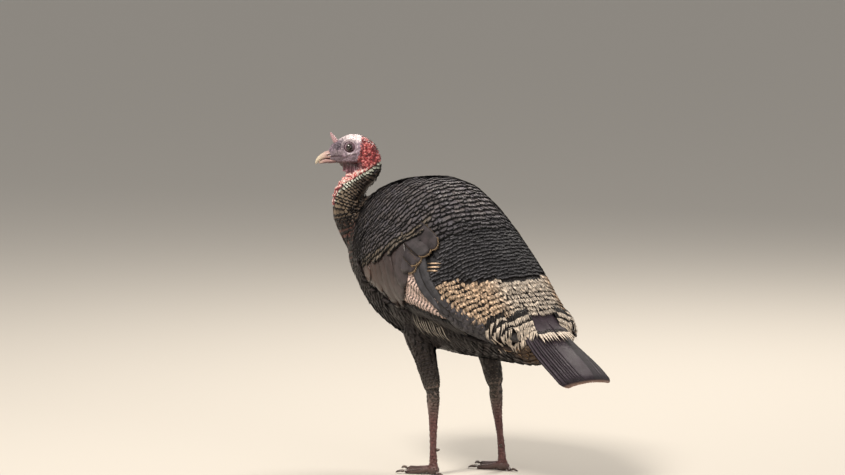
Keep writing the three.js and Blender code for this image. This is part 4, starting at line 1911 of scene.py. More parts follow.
@dataclass
class BackPlumage:
    """The mantle, the rump and the cream rows of the upper tail coverts.

    Attributes:
        mantle_pitch: the distance between rows on the mantle.
        rump_pitch: the distance between rows on the rump.
        cream_pitch: the distance between the cream rows.
        rump_width: how wide a rump feather is.
        cream_width: how wide a cream tuft is, and how much less near the midline.
    """

    mantle_pitch: float = 11.5
    rump_pitch: float = 8.0
    cream_pitch: float = 9.6
    rump_width: float = 12.0
    cream_width: tuple[float, float] = (7.0, 1.8)

    def build(self, form: Form) -> None:
        """Lays and dresses all three tracts.

        Args:
            form: the surface that the feathers lie on.
        """
        self.mantle(form)
        self.rump(form)
        self.cream(form)

    def back_height(self, y: Array) -> Array:
        """Gives the height of the back's outline."""
        return np.interp(
            y, (-303, -255, -190, -115, -40, 35, 110, 180, 245),
            (454, 486, 513, 527, 523, 474, 412, 344, 272),
        )

    def rooted(self, form: Form, stops: Array, widest: float, pitch: Array, flow: float) -> Roots:
        """Sets roots in rows that run forward down the sides.

        Args:
            form: the surface that the feathers lie on.
            stops: each row's place along the back.
            widest: how far round the rows go to each side, in radians.
            pitch: the distance between roots in a row.
            flow: how far the lie leans back from square on the row, 0 to 1.

        Returns:
            The roots of all rows.
        """
        turns = np.linspace(-widest, widest, 120)

        def outs(i: int, angles: Array) -> tuple[Array, Array]:
            """Gives one row's rays, carried forward by the square of the way from the midline.

            Args:
                i: the row's number.
                angles: the angles that it is sampled at.

            Returns:
                The rays' origins and directions.
            """
            rays = np.stack([np.sin(angles), 0 * angles, np.cos(angles)], axis=1)
            coarse = slice(None, None, 8)
            y = np.full(len(angles[coarse]), stops[i])
            ring, _ = form.seen(np.stack([0 * y, y, middle_height(y)], axis=1), rays[coarse])
            ring = np.where(np.isnan(ring), 0, ring)
            way = way_along(ring)
            way -= np.interp(0, angles[coarse], way)
            y = np.maximum(stops[i] - ROW_SWEEP * np.interp(angles, angles[coarse], way) ** 2, -292)
            return np.stack([0 * y, y, middle_height(y)], axis=1), rays

        way = np.tile([0.0, 1.0, -0.25], (len(stops), 1))
        return rows_over(form, stops, outs, turns, pitch, way, flow)

    def behind_wing(self, roots: Roots, length: float) -> Roots:
        """Keeps the roots whose feathers end above the folded wing's hind border."""
        y, z = (roots.at + roots.lie * length)[:, 1:].T
        return roots.kept((y > WING_BACK_Y[0]) & (z > np.interp(y, WING_BACK_Y, WING_BACK_Z)))

    def mantle(self, form: Form) -> None:
        """Lays the slate feathers with black edges, down to the scapulars' straight lower edge.

        Args:
            form: the surface that the feathers lie on.
        """
        stops = even_stops(self.back_height, -284, 44, self.mantle_pitch)
        pitch = 6.5 + 2.5 * smooth_step(stops, -250, -90)
        roots = self.rooted(form, stops, 2.0, pitch, 0.3).spaced(3.5)
        rng = np.random.default_rng(21)
        size = smooth_step(roots.at[:, 1], -270, -120)
        length = np.maximum(24 + 12 * size, 2.6 * roots.gaps())
        tips = roots.at + roots.lie * length[:, None]
        over = tips[:, 2] - np.interp(tips[:, 1], SCAPULAR_Y, SCAPULAR_Z)
        fine = (over > -1) & (neck_share(roots.at) > 1.15)
        fine &= np.linalg.norm(roots.at - head_point(-10.0, 0.0, -15.0), axis=1) > 66
        roots, tips, over, length, size = roots.kept(fine), tips[fine], over[fine], length[fine], size[fine]
        number = len(over)
        lowest = smooth_step(-over, -19, -13) * (tips[:, 1] < 4) * (tips[:, 1] > -160)
        tint = SLATE * (0.48 + 0.3 * size[:, None])
        tint = blend(tint, OLIVE, np.clip(0.3 * rng.random(number) + 0.8 * lowest, 0, 1))
        tint = blend(tint, SLATE * 0.45, smooth_step(stops[roots.row], 5, 44) * (1 - lowest))
        mark = np.stack([np.zeros(number), np.full(number, 1.0), rng.random(number)], axis=1)
        width = (12.5 + 5 * size) * (1 + 0.1 * lowest)
        length = length * rng.uniform(0.98, 1.02, number)
        quills = plumed(form, roots, length, width, tint, mark, rng, (-3.4, 1.3), unruly=0.03, wave=2.4)
        cut = VaneCut(6, 4, 0.7, 0.85, 0.1, 0.04, 0.35, roll=0.015)
        finish = Plumage(
            "mantle_vanes", edge=(0.002, 0.002, 0.002), edge_from=0.85, side_from=1.2, mottle=0.7,
            streak=0.5,
            rough=0.55, coat=0.03, ragged=0.1, bump=0.4,
        )
        feathered("mantle_feathers", Slot.BODY, finish.material(), (quills, cut, 0.004))

    def rump(self, form: Form) -> None:
        """Lays the black rump with its thin grey arcs.

        Args:
            form: the surface that the feathers lie on.
        """
        stops = even_stops(self.back_height, 20, 144, self.rump_pitch)
        roots = self.rooted(form, stops, 2.0, np.full(len(stops), 6.6), 0.25).spaced(3.0)
        roots = self.behind_wing(roots, 22)
        roots = roots.kept(stops[roots.row] < cream_edge(roots.at) - 2)
        number = len(roots.at)
        rng = np.random.default_rng(22)
        grey = 0.4 * rng.random(number) * smooth_step(-roots.at[:, 1], -60, 10)
        tint = blend(RUMP_BLACK, SLATE * 0.55, grey)
        mark = np.stack([0.3 * rng.random(number), 0.8 * np.ones(number), rng.uniform(0.35, 1.0, number)], 1)
        length = np.maximum(29.0, 3 * roots.gaps()) * rng.uniform(0.97, 1.03, number)
        width = np.full(number, self.rump_width)
        quills = plumed(form, roots, length, width, tint, mark, rng, (-3.4, 0.5), unruly=0.03, wave=2.0)
        cut = VaneCut(6, 4, 0.7, 0.8, 0.12, 0.04, 0.3, roll=0.015)
        finish = Plumage(
            "rump_vanes", edge=(0.006, 0.006, 0.007), edge_from=0.93, side_from=1.2, arc=(0.15,
            0.145, 0.16),
            arc_at=(0.83, 0.89), mottle=0.9, streak=0.5, rough=0.6, coat=0.0, ragged=0.08,
        )
        feathered("rump_feathers", Slot.BODY, finish.material(), (quills, cut, 0.004))

    def cream(self, form: Form) -> None:
        """Lays the rows of cream coverts with their frayed tips.

        Args:
            form: the surface that the feathers lie on.
        """
        stops = even_stops(self.back_height, 115, 200, self.cream_pitch)
        roots = self.rooted(form, stops, 2.3, np.full(len(stops), 3.0), 0.3).spaced(1.8)
        roots = self.behind_wing(roots, 20)
        roots = roots.kept(stops[roots.row] > cream_edge(roots.at) - 2)
        rng = np.random.default_rng(23)
        number = len(roots.at)
        spine_side = smooth_step(-np.abs(roots.at[:, 0]), -78, -40)
        gap = roots.gaps()
        length = np.maximum(30.0, 2.8 * gap) * rng.uniform(0.96, 1.06, number)
        tint = blend(CREAM, PALE_CREAM, spine_side)
        streaks = np.clip(spine_side + rng.normal(0, 0.12, number), 0, 1)
        mark = np.stack([1 - (1.04 + 0.14 * spine_side) * gap / length, np.zeros(number), streaks], axis=1)
        width = self.cream_width[0] - self.cream_width[1] * spine_side
        quills = plumed(form, roots, length, width, tint, mark, rng, (-3.4, 1.3), unruly=0.06, wave=1.6)
        cut = VaneCut(7, 3, 0.9, 0.35, 0.12, 0.05, 0.4, belly=0.8)
        feathered("cream_coverts", Slot.COVERT, cream_material("cream_vanes"), (quills, cut, 0.004))


def cream_material(name: str) -> Material:
    """Dresses the coverts: black within, cream towards the tip, with dark gaps between barbs.

    Args:
        name: the material's name.

    Returns:
        The material.
    """
    made = Plumage(
        name, fringe=(0.90, 0.74, 0.56), bars=0.0, mottle=0.25, streak=0.1, rough=0.62, coat=0.0,
        base=0.0, bump=0.2,
    ).material()
    g = Graph(made.node_tree)
    base = made.node_tree.nodes["Principled BSDF"].inputs["Base Color"]
    cream = base.links[0].from_socket
    uv = g.node("ShaderNodeUVMap", uv_map="vane").outputs[0]
    split = g.node("ShaderNodeSeparateXYZ", {0: uv})
    mark = g.node("ShaderNodeSeparateColor", {0: g.attribute("mark")})
    wander = g.times(g.math("SUBTRACT", g.noise(120.0), 0.5), 0.1)
    edge = g.math("ADD", split.outputs[1], g.times(wander, 0.5))
    within = g.step(g.math("SUBTRACT", edge, mark.outputs[0]), 0.02, -0.01)
    side = g.math("ABSOLUTE", g.math("SUBTRACT", split.outputs[0], 0.5))
    streaks = g.step(g.math("ADD", side, wander), 0.34, 0.46)
    sunk = g.times(streaks, g.step(mark.outputs[2], 0.1, 0.9, 0.0, 0.8))
    colour = g.mix(g.math("MAXIMUM", within, sunk), cream, (0.010, 0.008, 0.008))
    g.tree.links.new(colour, base)
    return made


@dataclass
class UnderPlumage:
    """The breast, flanks, belly and undertail.

    Attributes:
        pitch: the distance between rows.
        across: the distance between roots in a row.
        length: the shortest length, on the breast, and how much it grows towards the flanks.
        width: the least width and how much it varies.
    """

    pitch: float = 12.0
    across: float = 16.0
    length: tuple[float, float] = (32.0, 10.0)
    width: tuple[float, float] = (20.0, 4.0)

    def build(self, trunk: Form) -> None:
        """Lays and dresses the rows from the neck's foot back to the undertail.

        Args:
            trunk: the surface that the feathers lie on.
        """
        steps: list[tuple[float, float, float]] = []
        for delta in np.arange(-34, 90, 5.2):
            share = (delta + 34) / 124
            steps.append((-232 + 82 * share, 414 - 44 * share, delta))
        for y in np.arange(-150, 300, self.pitch):
            steps.append((y, float(middle_height(np.array(y))), 90.0))
        centres = np.array(steps)
        turns = np.linspace(-2.0, 2.0, 150)

        def outs(i: int, angles: Array) -> tuple[Array, Array]:
            """Gives one row's rays.

            Args:
                i: the row's number.
                angles: the angles that it is sampled at.

            Returns:
                The rays' origins and directions.
            """
            y, z, delta = centres[i]
            down = np.array([0.0, -math.cos(math.radians(delta)), -math.sin(math.radians(delta))])
            rays = np.outer(np.cos(angles), down) + np.outer(np.sin(angles), [1.0, 0, 0])
            origins = np.tile([0.0, y, z], (len(angles), 1))
            origins[:, 1] -= np.clip(26.0 * angles**2, 0, 75) * (delta == 90.0)
            return origins, rays

        delta = np.radians(centres[:, 2])
        way = np.stack([0 * delta, np.sin(delta) + 0.05, -np.cos(delta) - 0.05], axis=1)
        roots = rows_over(trunk, centres, outs, turns, np.full(len(centres), self.across), way, 0.4)
        _, y, z = roots.at.T
        covered = (z > np.interp(y, SCAPULAR_Y, SCAPULAR_Z) + 22) & (y < 40)
        covered |= (z > middle_height(y) + 25) & (y >= 40) | (z > 480) | ((y > 80) & (z > 330))
        covered |= (neck_share(roots.at) < 1.12) & (z > 425) | ((z < 208) & (y < 180))
        roots = roots.kept(~covered).spaced(7.5)
        _, y, z = roots.at.T
        number = len(y)
        rng = np.random.default_rng(41)
        # painted sheen: greyish brown streaks painted into the front breast feathers' colour
        sheen = smooth_step(-y, 150, 260) * (0.5 + 0.5 * rng.random(number))
        tint = blend(BLACKISH, (0.055, 0.040, 0.036), sheen)
        tint = blend(tint, (0.09, 0.035, 0.03), 0.6 * smooth_step(-y, 262, 300) * smooth_step(z, 350, 400))
        under = smooth_step(y, 165, 215)
        tint = blend(tint, (0.10, 0.06, 0.035), under)
        mark = np.stack([under * 0.9, np.ones(number), 0.25 + 0.5 * rng.random(number)], axis=1)
        length = self.length[0] + self.length[1] * smooth_step(y, -220, -60)
        width = self.width[0] + self.width[1] * rng.random(number)
        sag = np.array([0, 0, -0.06])
        quills = plumed(trunk, roots, length, width, tint, mark, rng, (-3.6, 0.8), sag, 0.08)
        cut = VaneCut(6, 5, 0.5, 0.8, 0.26, 0.12, 0.35)
        steady = (quills.normal[:, 0] * quills.normal[:, 3]).sum(axis=1) > 0.45
        front = picked(quills, (under < 0.2) & steady)
        finish = Plumage(
            "breast_vanes", edge=(0.004, 0.004, 0.004), edge_from=0.84, side_from=0.9, arc=(0.06,
            0.055, 0.055),
            arc_at=(0.74, 0.8), streak=0.9, mottle=0.8, rough=0.55, coat=0.05, barbs=30.0, bump=0.4,
        )
        feathered("breast_feathers", Slot.BODY, finish.material(), (front, cut, 0.004))
        hind = picked(quills, under >= 0.2)
        finish = Plumage(
            "undertail_vanes", edge=(0.40, 0.25, 0.14), edge_from=0.9, bar=(0.02, 0.012, 0.01), bars=3.0
        )
        feathered("undertail_coverts", Slot.COVERT, finish.material(), (hind, cut, 0.004))


def picked(quills: Quills, wanted: Array) -> Quills:
    """Keeps the wanted feathers of a group."""
    return Quills(**{name: getattr(quills, name)[wanted] for name in Quills.__dataclass_fields__})


@dataclass
class NeckPlumage:
    """The small scale-like feathers of the neck.

    Attributes:
        row_step: the distance between rows.
        length: the feathers' length at the head and at the breast.
        width: their width at the head and at the breast.
    """

    row_step: float = 4.7
    length: tuple[float, float] = (10.0, 24.0)
    width: tuple[float, float] = (7.5, 15.5)

    def build(self, form: Form) -> None:
        """Lays and dresses the rows round the neck.

        Args:
            form: the surface that the feathers lie on.
        """
        line, radius = neck_line()
        way = way_along(line)
        stops = np.arange(4, way[-1] + 6, self.row_step)
        centres = read_along(stops, way, line)
        run = unit(np.gradient(centres, axis=0))
        turns = np.linspace(-math.pi, math.pi, 90)
        outs = rays_round(centres, run, HEAD_FORWARD)
        pitch = np.interp(stops, [0, 90, 180, 240], [6.0, 7.0, 10.5, 14.0])
        roots = rows_over(Near(form, 62), centres, outs, turns, pitch, run, 0.6)
        bare = bare_line(roots.at)
        gap = np.linalg.norm(roots.at - centres[roots.row], axis=1)
        fine = (bare < 2.5) & (gap < np.interp(stops[roots.row], way, radius) * 1.5)
        roots = roots.kept(fine).spaced(3.6)
        bare = bare_line(roots.at)
        number = len(bare)
        rng = np.random.default_rng(51)
        f, _, u = head_local(roots.at).T
        low = smooth_step(-u, 60, 150)
        length = self.length[0] + (self.length[1] - self.length[0]) * low
        width = self.width[0] + (self.width[1] - self.width[0]) * low
        pale = smooth_step(bare, -9, -4)
        front = smooth_step(f, -12, 10) * smooth_step(u, -130, -90)
        tint = blend((0.125, 0.088, 0.060), (0.235, 0.175, 0.118), front)
        tint = blend(tint, (0.10, 0.042, 0.032), smooth_step(-u, 112, 135))
        tint = blend(tint, (0.062, 0.042, 0.034), smooth_step(-f, 12, 30) * 0.7)
        tint = blend(tint, (0.58, 0.60, 0.50), pale)
        mark = np.stack([np.zeros(number), np.ones(number), rng.random(number) * 0.4], axis=1)
        quills = plumed(form, roots, length, width, tint, mark, rng, (-1.2, 0.9), None, 0.12)
        cut = VaneCut(5, 5, 0.55, 0.85, 0.2, 0.12, 0.3)
        finish = Plumage(
            "neck_vanes", edge=(0.005, 0.003, 0.003), edge_from=0.7, side_from=0.92, mottle=0.7, rough=0.5,
            barbs=12.0, ragged=0.16,
        )
        feathered("neck_feathers", Slot.BODY, finish.material(), (quills, cut, 0.004))


# ---------------------------------------------------------------- wings


def fan(count: int, first: Sequence[tuple[float, float]], last: Sequence[tuple[float, float]]) -> Array:
    """Spreads feathers evenly between a first and a last four-point path.

    Args:
        count: how many feathers.
        first: the first feather's four places.
        last: the last feather's four places.

    Returns:
        Four places to a feather.
    """
    a, b = np.array(first, float), np.array(last, float)
    share = np.linspace(0, 1, count)[:, None, None]
    return a * (1 - share) + b * share


# (y, z) places, seen from the side, of the first and last feather of each group
PRIMARY_FIRST = (60, 294), (95, 281), (130, 268), (158, 260)
PRIMARY_LAST = (50, 330), (92, 314), (134, 294), (172, 268)
SECONDARY_FIRST = (-40, 326), (0, 312), (42, 302), (86, 292)
SECONDARY_LAST = (-26, 384), (10, 366), (44, 344), (84, 314)
BAND_FIRST = (-24, 412), (10, 376), (38, 342), (88, 300)
BAND_LAST = (-10, 424), (22, 386), (50, 350), (102, 306)
TERTIAL_FIRST = (-40, 400), (-22, 392), (-6, 384), (8, 371)
TERTIAL_LAST = (-62, 456), (-28, 447), (4, 432), (36, 414)
SHOULDER_FIRST = (-212, 366), (-204, 361), (-196, 354), (-189, 346)
SHOULDER_LAST = (-150, 352), (-144, 345), (-136, 337), (-128, 329)
# where each bronze covert starts and ends
BRONZE_TOPS = (
    (-172, 372), (-156, 384), (-141, 391), (-124, 398), (-106, 405), (-88, 412), (-70, 420), (-52, 428),
    (-36, 436),
)
BRONZE_ENDS = (
    (-131, 345), (-116, 336), (-99, 324), (-82, 310), (-64, 299), (-45, 303), (-30, 318), (-20, 340),
    (-15, 366),
)
BARRED_PINK = np.array([0.70, 0.52, 0.45])
WING_CUT = VaneCut(9, 5, 0.8, 0.72, 0.3, 0.12, 0.5)


@dataclass
class Wing:
    """One folded wing: primaries, barred secondaries, tertials and bronze coverts.

    Attributes:
        sign: 1 for the left wing and -1 for the right.
        seed: fixes the draws.
        flight_widths: how wide the primaries and the secondaries are.
        covert_widths: how wide the tertials, bronze coverts, shoulder and tip feathers are.
    """

    sign: int
    seed: int
    flight_widths: tuple[float, float] = (25, 24)
    covert_widths: tuple[float, float, float, float] = (34, 38, 22, 17)

    def draped(
        self, form: Form, sides: Array, width: Array, tint: Array, mark: Array, lifts: Array
    ) -> Quills:
        """Lays side-on paths onto the wing's outer face.

        Args:
            form: the surface.
            sides: four (y, z) places to a feather.
            width: each feather's width.
            tint: each one's colour.
            mark: each one's marks.
            lifts: each one's root and tip heights.

        Returns:
            The feathers, on this wing's side.
        """
        number = len(sides)
        flat = sides.reshape(-1, 2)
        origin = np.stack([np.full(len(flat), 20.0), flat[:, 0], flat[:, 1]], axis=1)
        hits, normals = form.seen(origin, np.tile([1.0, 0, 0], (len(flat), 1)))
        lost = np.isnan(hits[:, 0])
        if lost.any():
            aside = np.full(lost.sum(), 90.0)
            near, facing = form.nearest(np.stack([aside, flat[lost, 0], flat[lost, 1]], axis=1))
            hits[lost] = np.stack([near[:, 0], flat[lost, 0], flat[lost, 1]], axis=1)
            normals[lost] = unit(facing + np.array([1.0, 0, 0]))
        spine, normal = hits.reshape(number, 4, 3), normals.reshape(number, 4, 3)
        normal = unit(normal + normal.mean(axis=1, keepdims=True))
        length = np.linalg.norm(np.diff(spine, axis=1), axis=2).sum(axis=1)
        place = np.stack([(spine[:, 1, 1] + 220) / 450, (spine[:, 1, 2] - 220) / 290], axis=1)
        quills = Quills(spine, normal, length, width, place, tint, mark, lifts[:, 0], lifts[:, 1])
        return quills if self.sign > 0 else quills.mirrored()

    def group(
        self, form: Form, sides: Array, width: float, colour: Array,
        marks: tuple[float, float, float], lift: tuple[float, float], rise: float, shift: int,
    ) -> Quills:
        """Makes one layered group of like feathers.

        Args:
            form: the surface.
            sides: their side-on paths, lowest first.
            width: how wide they are.
            colour: their colour.
            marks: their bar, edge and arc strengths.
            lift: the first one's root and tip heights.
            rise: how much higher each next one lies.
            shift: set apart from the other groups' draws.

        Returns:
            The feathers.
        """
        number = len(sides)
        rng = np.random.default_rng(self.seed + shift)
        jitter = rng.normal(0, 1.0, (number, 1, 2)) * np.array([0.2, 0.5, 0.8, 1.0])[None, :, None]
        tint = np.tile(colour, (number, 1)) * rng.uniform(0.86, 1.14, (number, 1))
        lifts = np.array(lift)[None] + (np.arange(number) * rise)[:, None]
        mark = np.tile(marks, (number, 1)) * rng.uniform(0.85, 1.0, (number, 1))
        return self.draped(form, sides + jitter, np.full(number, width), tint, mark, lifts)

    def build(self, form: Form) -> None:
        """Lays and dresses the wing.

        Args:
            form: the surface that the feathers lie on.
        """
        side = "left" if self.sign > 0 else "right"
        paths = fan(6, PRIMARY_FIRST, PRIMARY_LAST)
        wide, narrow = self.flight_widths
        primaries = self.group(form, paths, wide, TERTIAL * 0.3, (0.15, 1, 0), (-4.6, -3.4), 0.16, 1)
        paths = fan(8, SECONDARY_FIRST, SECONDARY_LAST)
        secondaries = self.group(form, paths, narrow, BARRED_PINK, (1, 0.15, 0), (-3.6, -2.2), 0.16, 2)
        finish = Plumage(
            f"{side}_flight_vanes", edge=(0.42, 0.30, 0.22), edge_from=0.97, side_from=0.93,
            bar=(0.02, 0.015, 0.015),
            bars=15.0, base=0.0, mottle=0.25, streak=0.15, rough=0.5, bump=0.3,
        )
        layers = (primaries, WING_CUT, 0.02), (secondaries, WING_CUT, 0.03)
        feathered(f"{side}_flight_feathers", Slot.WING, finish.material(), *layers)
        self.tertials(form, side)
        self.bronze(form, side)
        self.scaly_tip(form, side)
        self.flank(form, side)

    def tertials(self, form: Form, side: str) -> None:
        """Lays the scapulars' dark band, three pale bars and the tertials with tan barbs.

        Args:
            form: the surface that the feathers lie on.
            side: the side's name.
        """
        mesh = VaneMesh()
        band = fan(2, BAND_FIRST, BAND_LAST)
        mesh.lay(self.group(form, band, 20, TERTIAL * 0.34, (0, 0.2, 0), (-0.6, 0.9), 0.5, 3), WING_CUT, 0.02)
        starts = ((32, 388), (34, 382), (37, 376))
        bars = [[(y, z), (y + 8, z + 0.5), (y + 15, z + 0.5), (y + 22, z)] for y, z in starts]
        quills = self.group(form, np.array(bars, float), 3.2, CREAM * 0.9, (0, 0, 0), (0.6, 1.6), 0.0, 10)
        mesh.lay(quills, VaneCut(4, 3, 0.8, 0.8), 0.01)
        paths = fan(4, TERTIAL_FIRST, TERTIAL_LAST)
        brown = TERTIAL * np.array([0.30, 0.25, 0.24])
        quills = self.group(form, paths, self.covert_widths[0], brown, (0, 0.7, 0), (-2.2, 2.0), 0.3, 4)
        cut = VaneCut(8, 7, 0.5, 0.85, 0.14, 0.12, 0.5)
        mesh.lay(quills, cut, 0.02)
        mesh.fringe(quills, cut, 22, 5.0, self.seed + 5, 1.7)
        finish = Plumage(
            f"{side}_tertial_vanes", edge=(0.20, 0.14, 0.09), edge_from=0.94, side_from=0.9,
            fringe=(0.42, 0.29, 0.17),
            base=0.25, mottle=0.9, streak=0.8, rough=0.55, coat=0.0, ragged=0.2, bump=0.4, barbs=34.0,
        )
        finish_piece(mesh.to_object(f"{side}_tertials"), finish.material())

    def bronze(self, form: Form, side: str) -> None:
        """Lays the smooth bronze coverts below the scapulars.

        Args:
            form: the surface that the feathers lie on.
            side: the side's name.
        """
        tops, ends = np.array(BRONZE_TOPS, float), np.array(BRONZE_ENDS, float)
        share = np.linspace(0, 1, 4)[None, :, None]
        sides = tops[:, None] * (1 - share) + ends[:, None] * share
        sides[:, 1:3, 0] += 3
        width = self.covert_widths[1]
        quills = self.group(form, sides[::-1], width, BRONZE, (0, 0.5, 0), (-2.0, 1.0), 0.2, 6)
        quills.tint = blend(quills.tint, TERTIAL * 0.42, np.linspace(0.75, 0.0, len(sides)) ** 1.5)
        paths, width = fan(6, SHOULDER_FIRST, SHOULDER_LAST), self.covert_widths[2]
        front = self.group(form, paths, width, BLACKISH * 1.6, (0, 0.4, 0), (-2.2, 0.2), 0.2, 7)
        layers = (quills, VaneCut(8, 7, 0.7, 0.85, 0.22, 0.12, 0.5), 0.03), (front, VaneCut(6, 5), 0.01)
        finish = Plumage(
            f"{side}_bronze_vanes", edge=(0.02, 0.014, 0.012), edge_from=0.95, side_from=0.95,
            base=0.2, mottle=0.5,
            streak=0.35, rough=0.38, coat=0.3, barbs=16.0, bump=0.3,
        )
        feathered(f"{side}_wing_coverts", Slot.WING, finish.material(), *layers)

    def flank(self, form: Form, side: str) -> None:
        """Hangs the loose white-edged flank feathers from under the wing's lower edge.

        Args:
            form: the surface that the feathers lie on.
            side: the side's name.
        """
        rng = np.random.default_rng(self.seed + 11)
        rows = []
        for i in range(6):
            for y in np.arange(-104 + 5 * (i % 2), 104, 10.0):
                edge = np.interp(y, (-104, -45, -5, 88, 110), (340, 304, 308, 286, 274))
                z = edge + 4 - 8.5 * i + rng.normal(0, 1)
                lean = rng.normal(0, 1.5)
                if z < 256 + 0.1 * max(y, 0):
                    continue
                low = (y + 13 + lean, z - 22), (y + 24 + 2 * lean, z - 30)
                rows.append([(y, z), (y + 5 + lean, z - 12), *low])
        sides = np.array(rows, float)
        quills = self.group(form, sides, 14, BLACKISH * 0.7, (0, 1, 0), (-0.6, 3.4), -0.012, 12)
        quills.mark[:, 1] *= smooth_step(sides[:, 0, 0], -30, 5)
        rows = []
        for i, y in enumerate(np.arange(-22, 62, 7.0)):
            z = np.interp(y, (-30, 70), (296, 288)) - 4 * (i % 2)
            rows.append([(y, z), (y - 3, z - 11), (y - 2, z - 23), (y + 4, z - 34)])
        white = np.array([0.60, 0.53, 0.44])
        plumes = self.group(form, np.array(rows, float), 2.4, white, (0, 0, 0), (3.0, 4.4), 0.0, 13)
        finish = Plumage(
            f"{side}_flank_vanes", edge=(0.62, 0.56, 0.48), edge_from=0.95, side_from=0.84,
            streak=0.6, rough=0.6
        )
        layers = (
            (quills, VaneCut(7, 5, 0.5, 0.5, 0.4, 0.15, 0.35), 0.01),
            (plumes, VaneCut(7, 3, 0.5, 0.3, 0.2, 0.05, 0.5), 0.01),
        )
        feathered(f"{side}_flank_feathers", Slot.BODY, finish.material(), *layers)

    def scaly_tip(self, form: Form, side: str) -> None:
        """Lays small dark scaly feathers over the end of the wing.

        Args:
            form: the surface that the feathers lie on.
            side: the side's name.
        """
        rng = np.random.default_rng(self.seed + 8)
        rows = []
        for i in range(9):
            for j in range(5):
                y = 78 + 10.5 * i + 4 * (j % 2) + rng.normal(0, 1)
                z = 326 - 4.6 * i - 9.5 * j + rng.normal(0, 1)
                if z < 262 + 0.02 * abs(y - 135) or z < 300 - 0.62 * (y - 78):
                    continue
                rows.append([(y - 14 + 9.5 * k, z + 7 - 6.0 * k) for k in range(4)])
        sides = np.array(rows, float)
        width = self.covert_widths[3]
        quills = self.group(form, sides, width, SLATE * 0.42, (0.3, 1, 0.5), (-1.2, 1.4), 0.0, 9)
        finish = Plumage(
            f"{side}_tip_vanes", edge=(0.17, 0.155, 0.15), edge_from=0.93, side_from=0.94,
            mottle=0.8, streak=0.8
        )
        layer = (quills, VaneCut(6, 5, 0.5, 0.75, 0.3), 0.01)
        feathered(f"{side}_tip_coverts", Slot.WING, finish.material(), layer)


# ---------------------------------------------------------------- tail


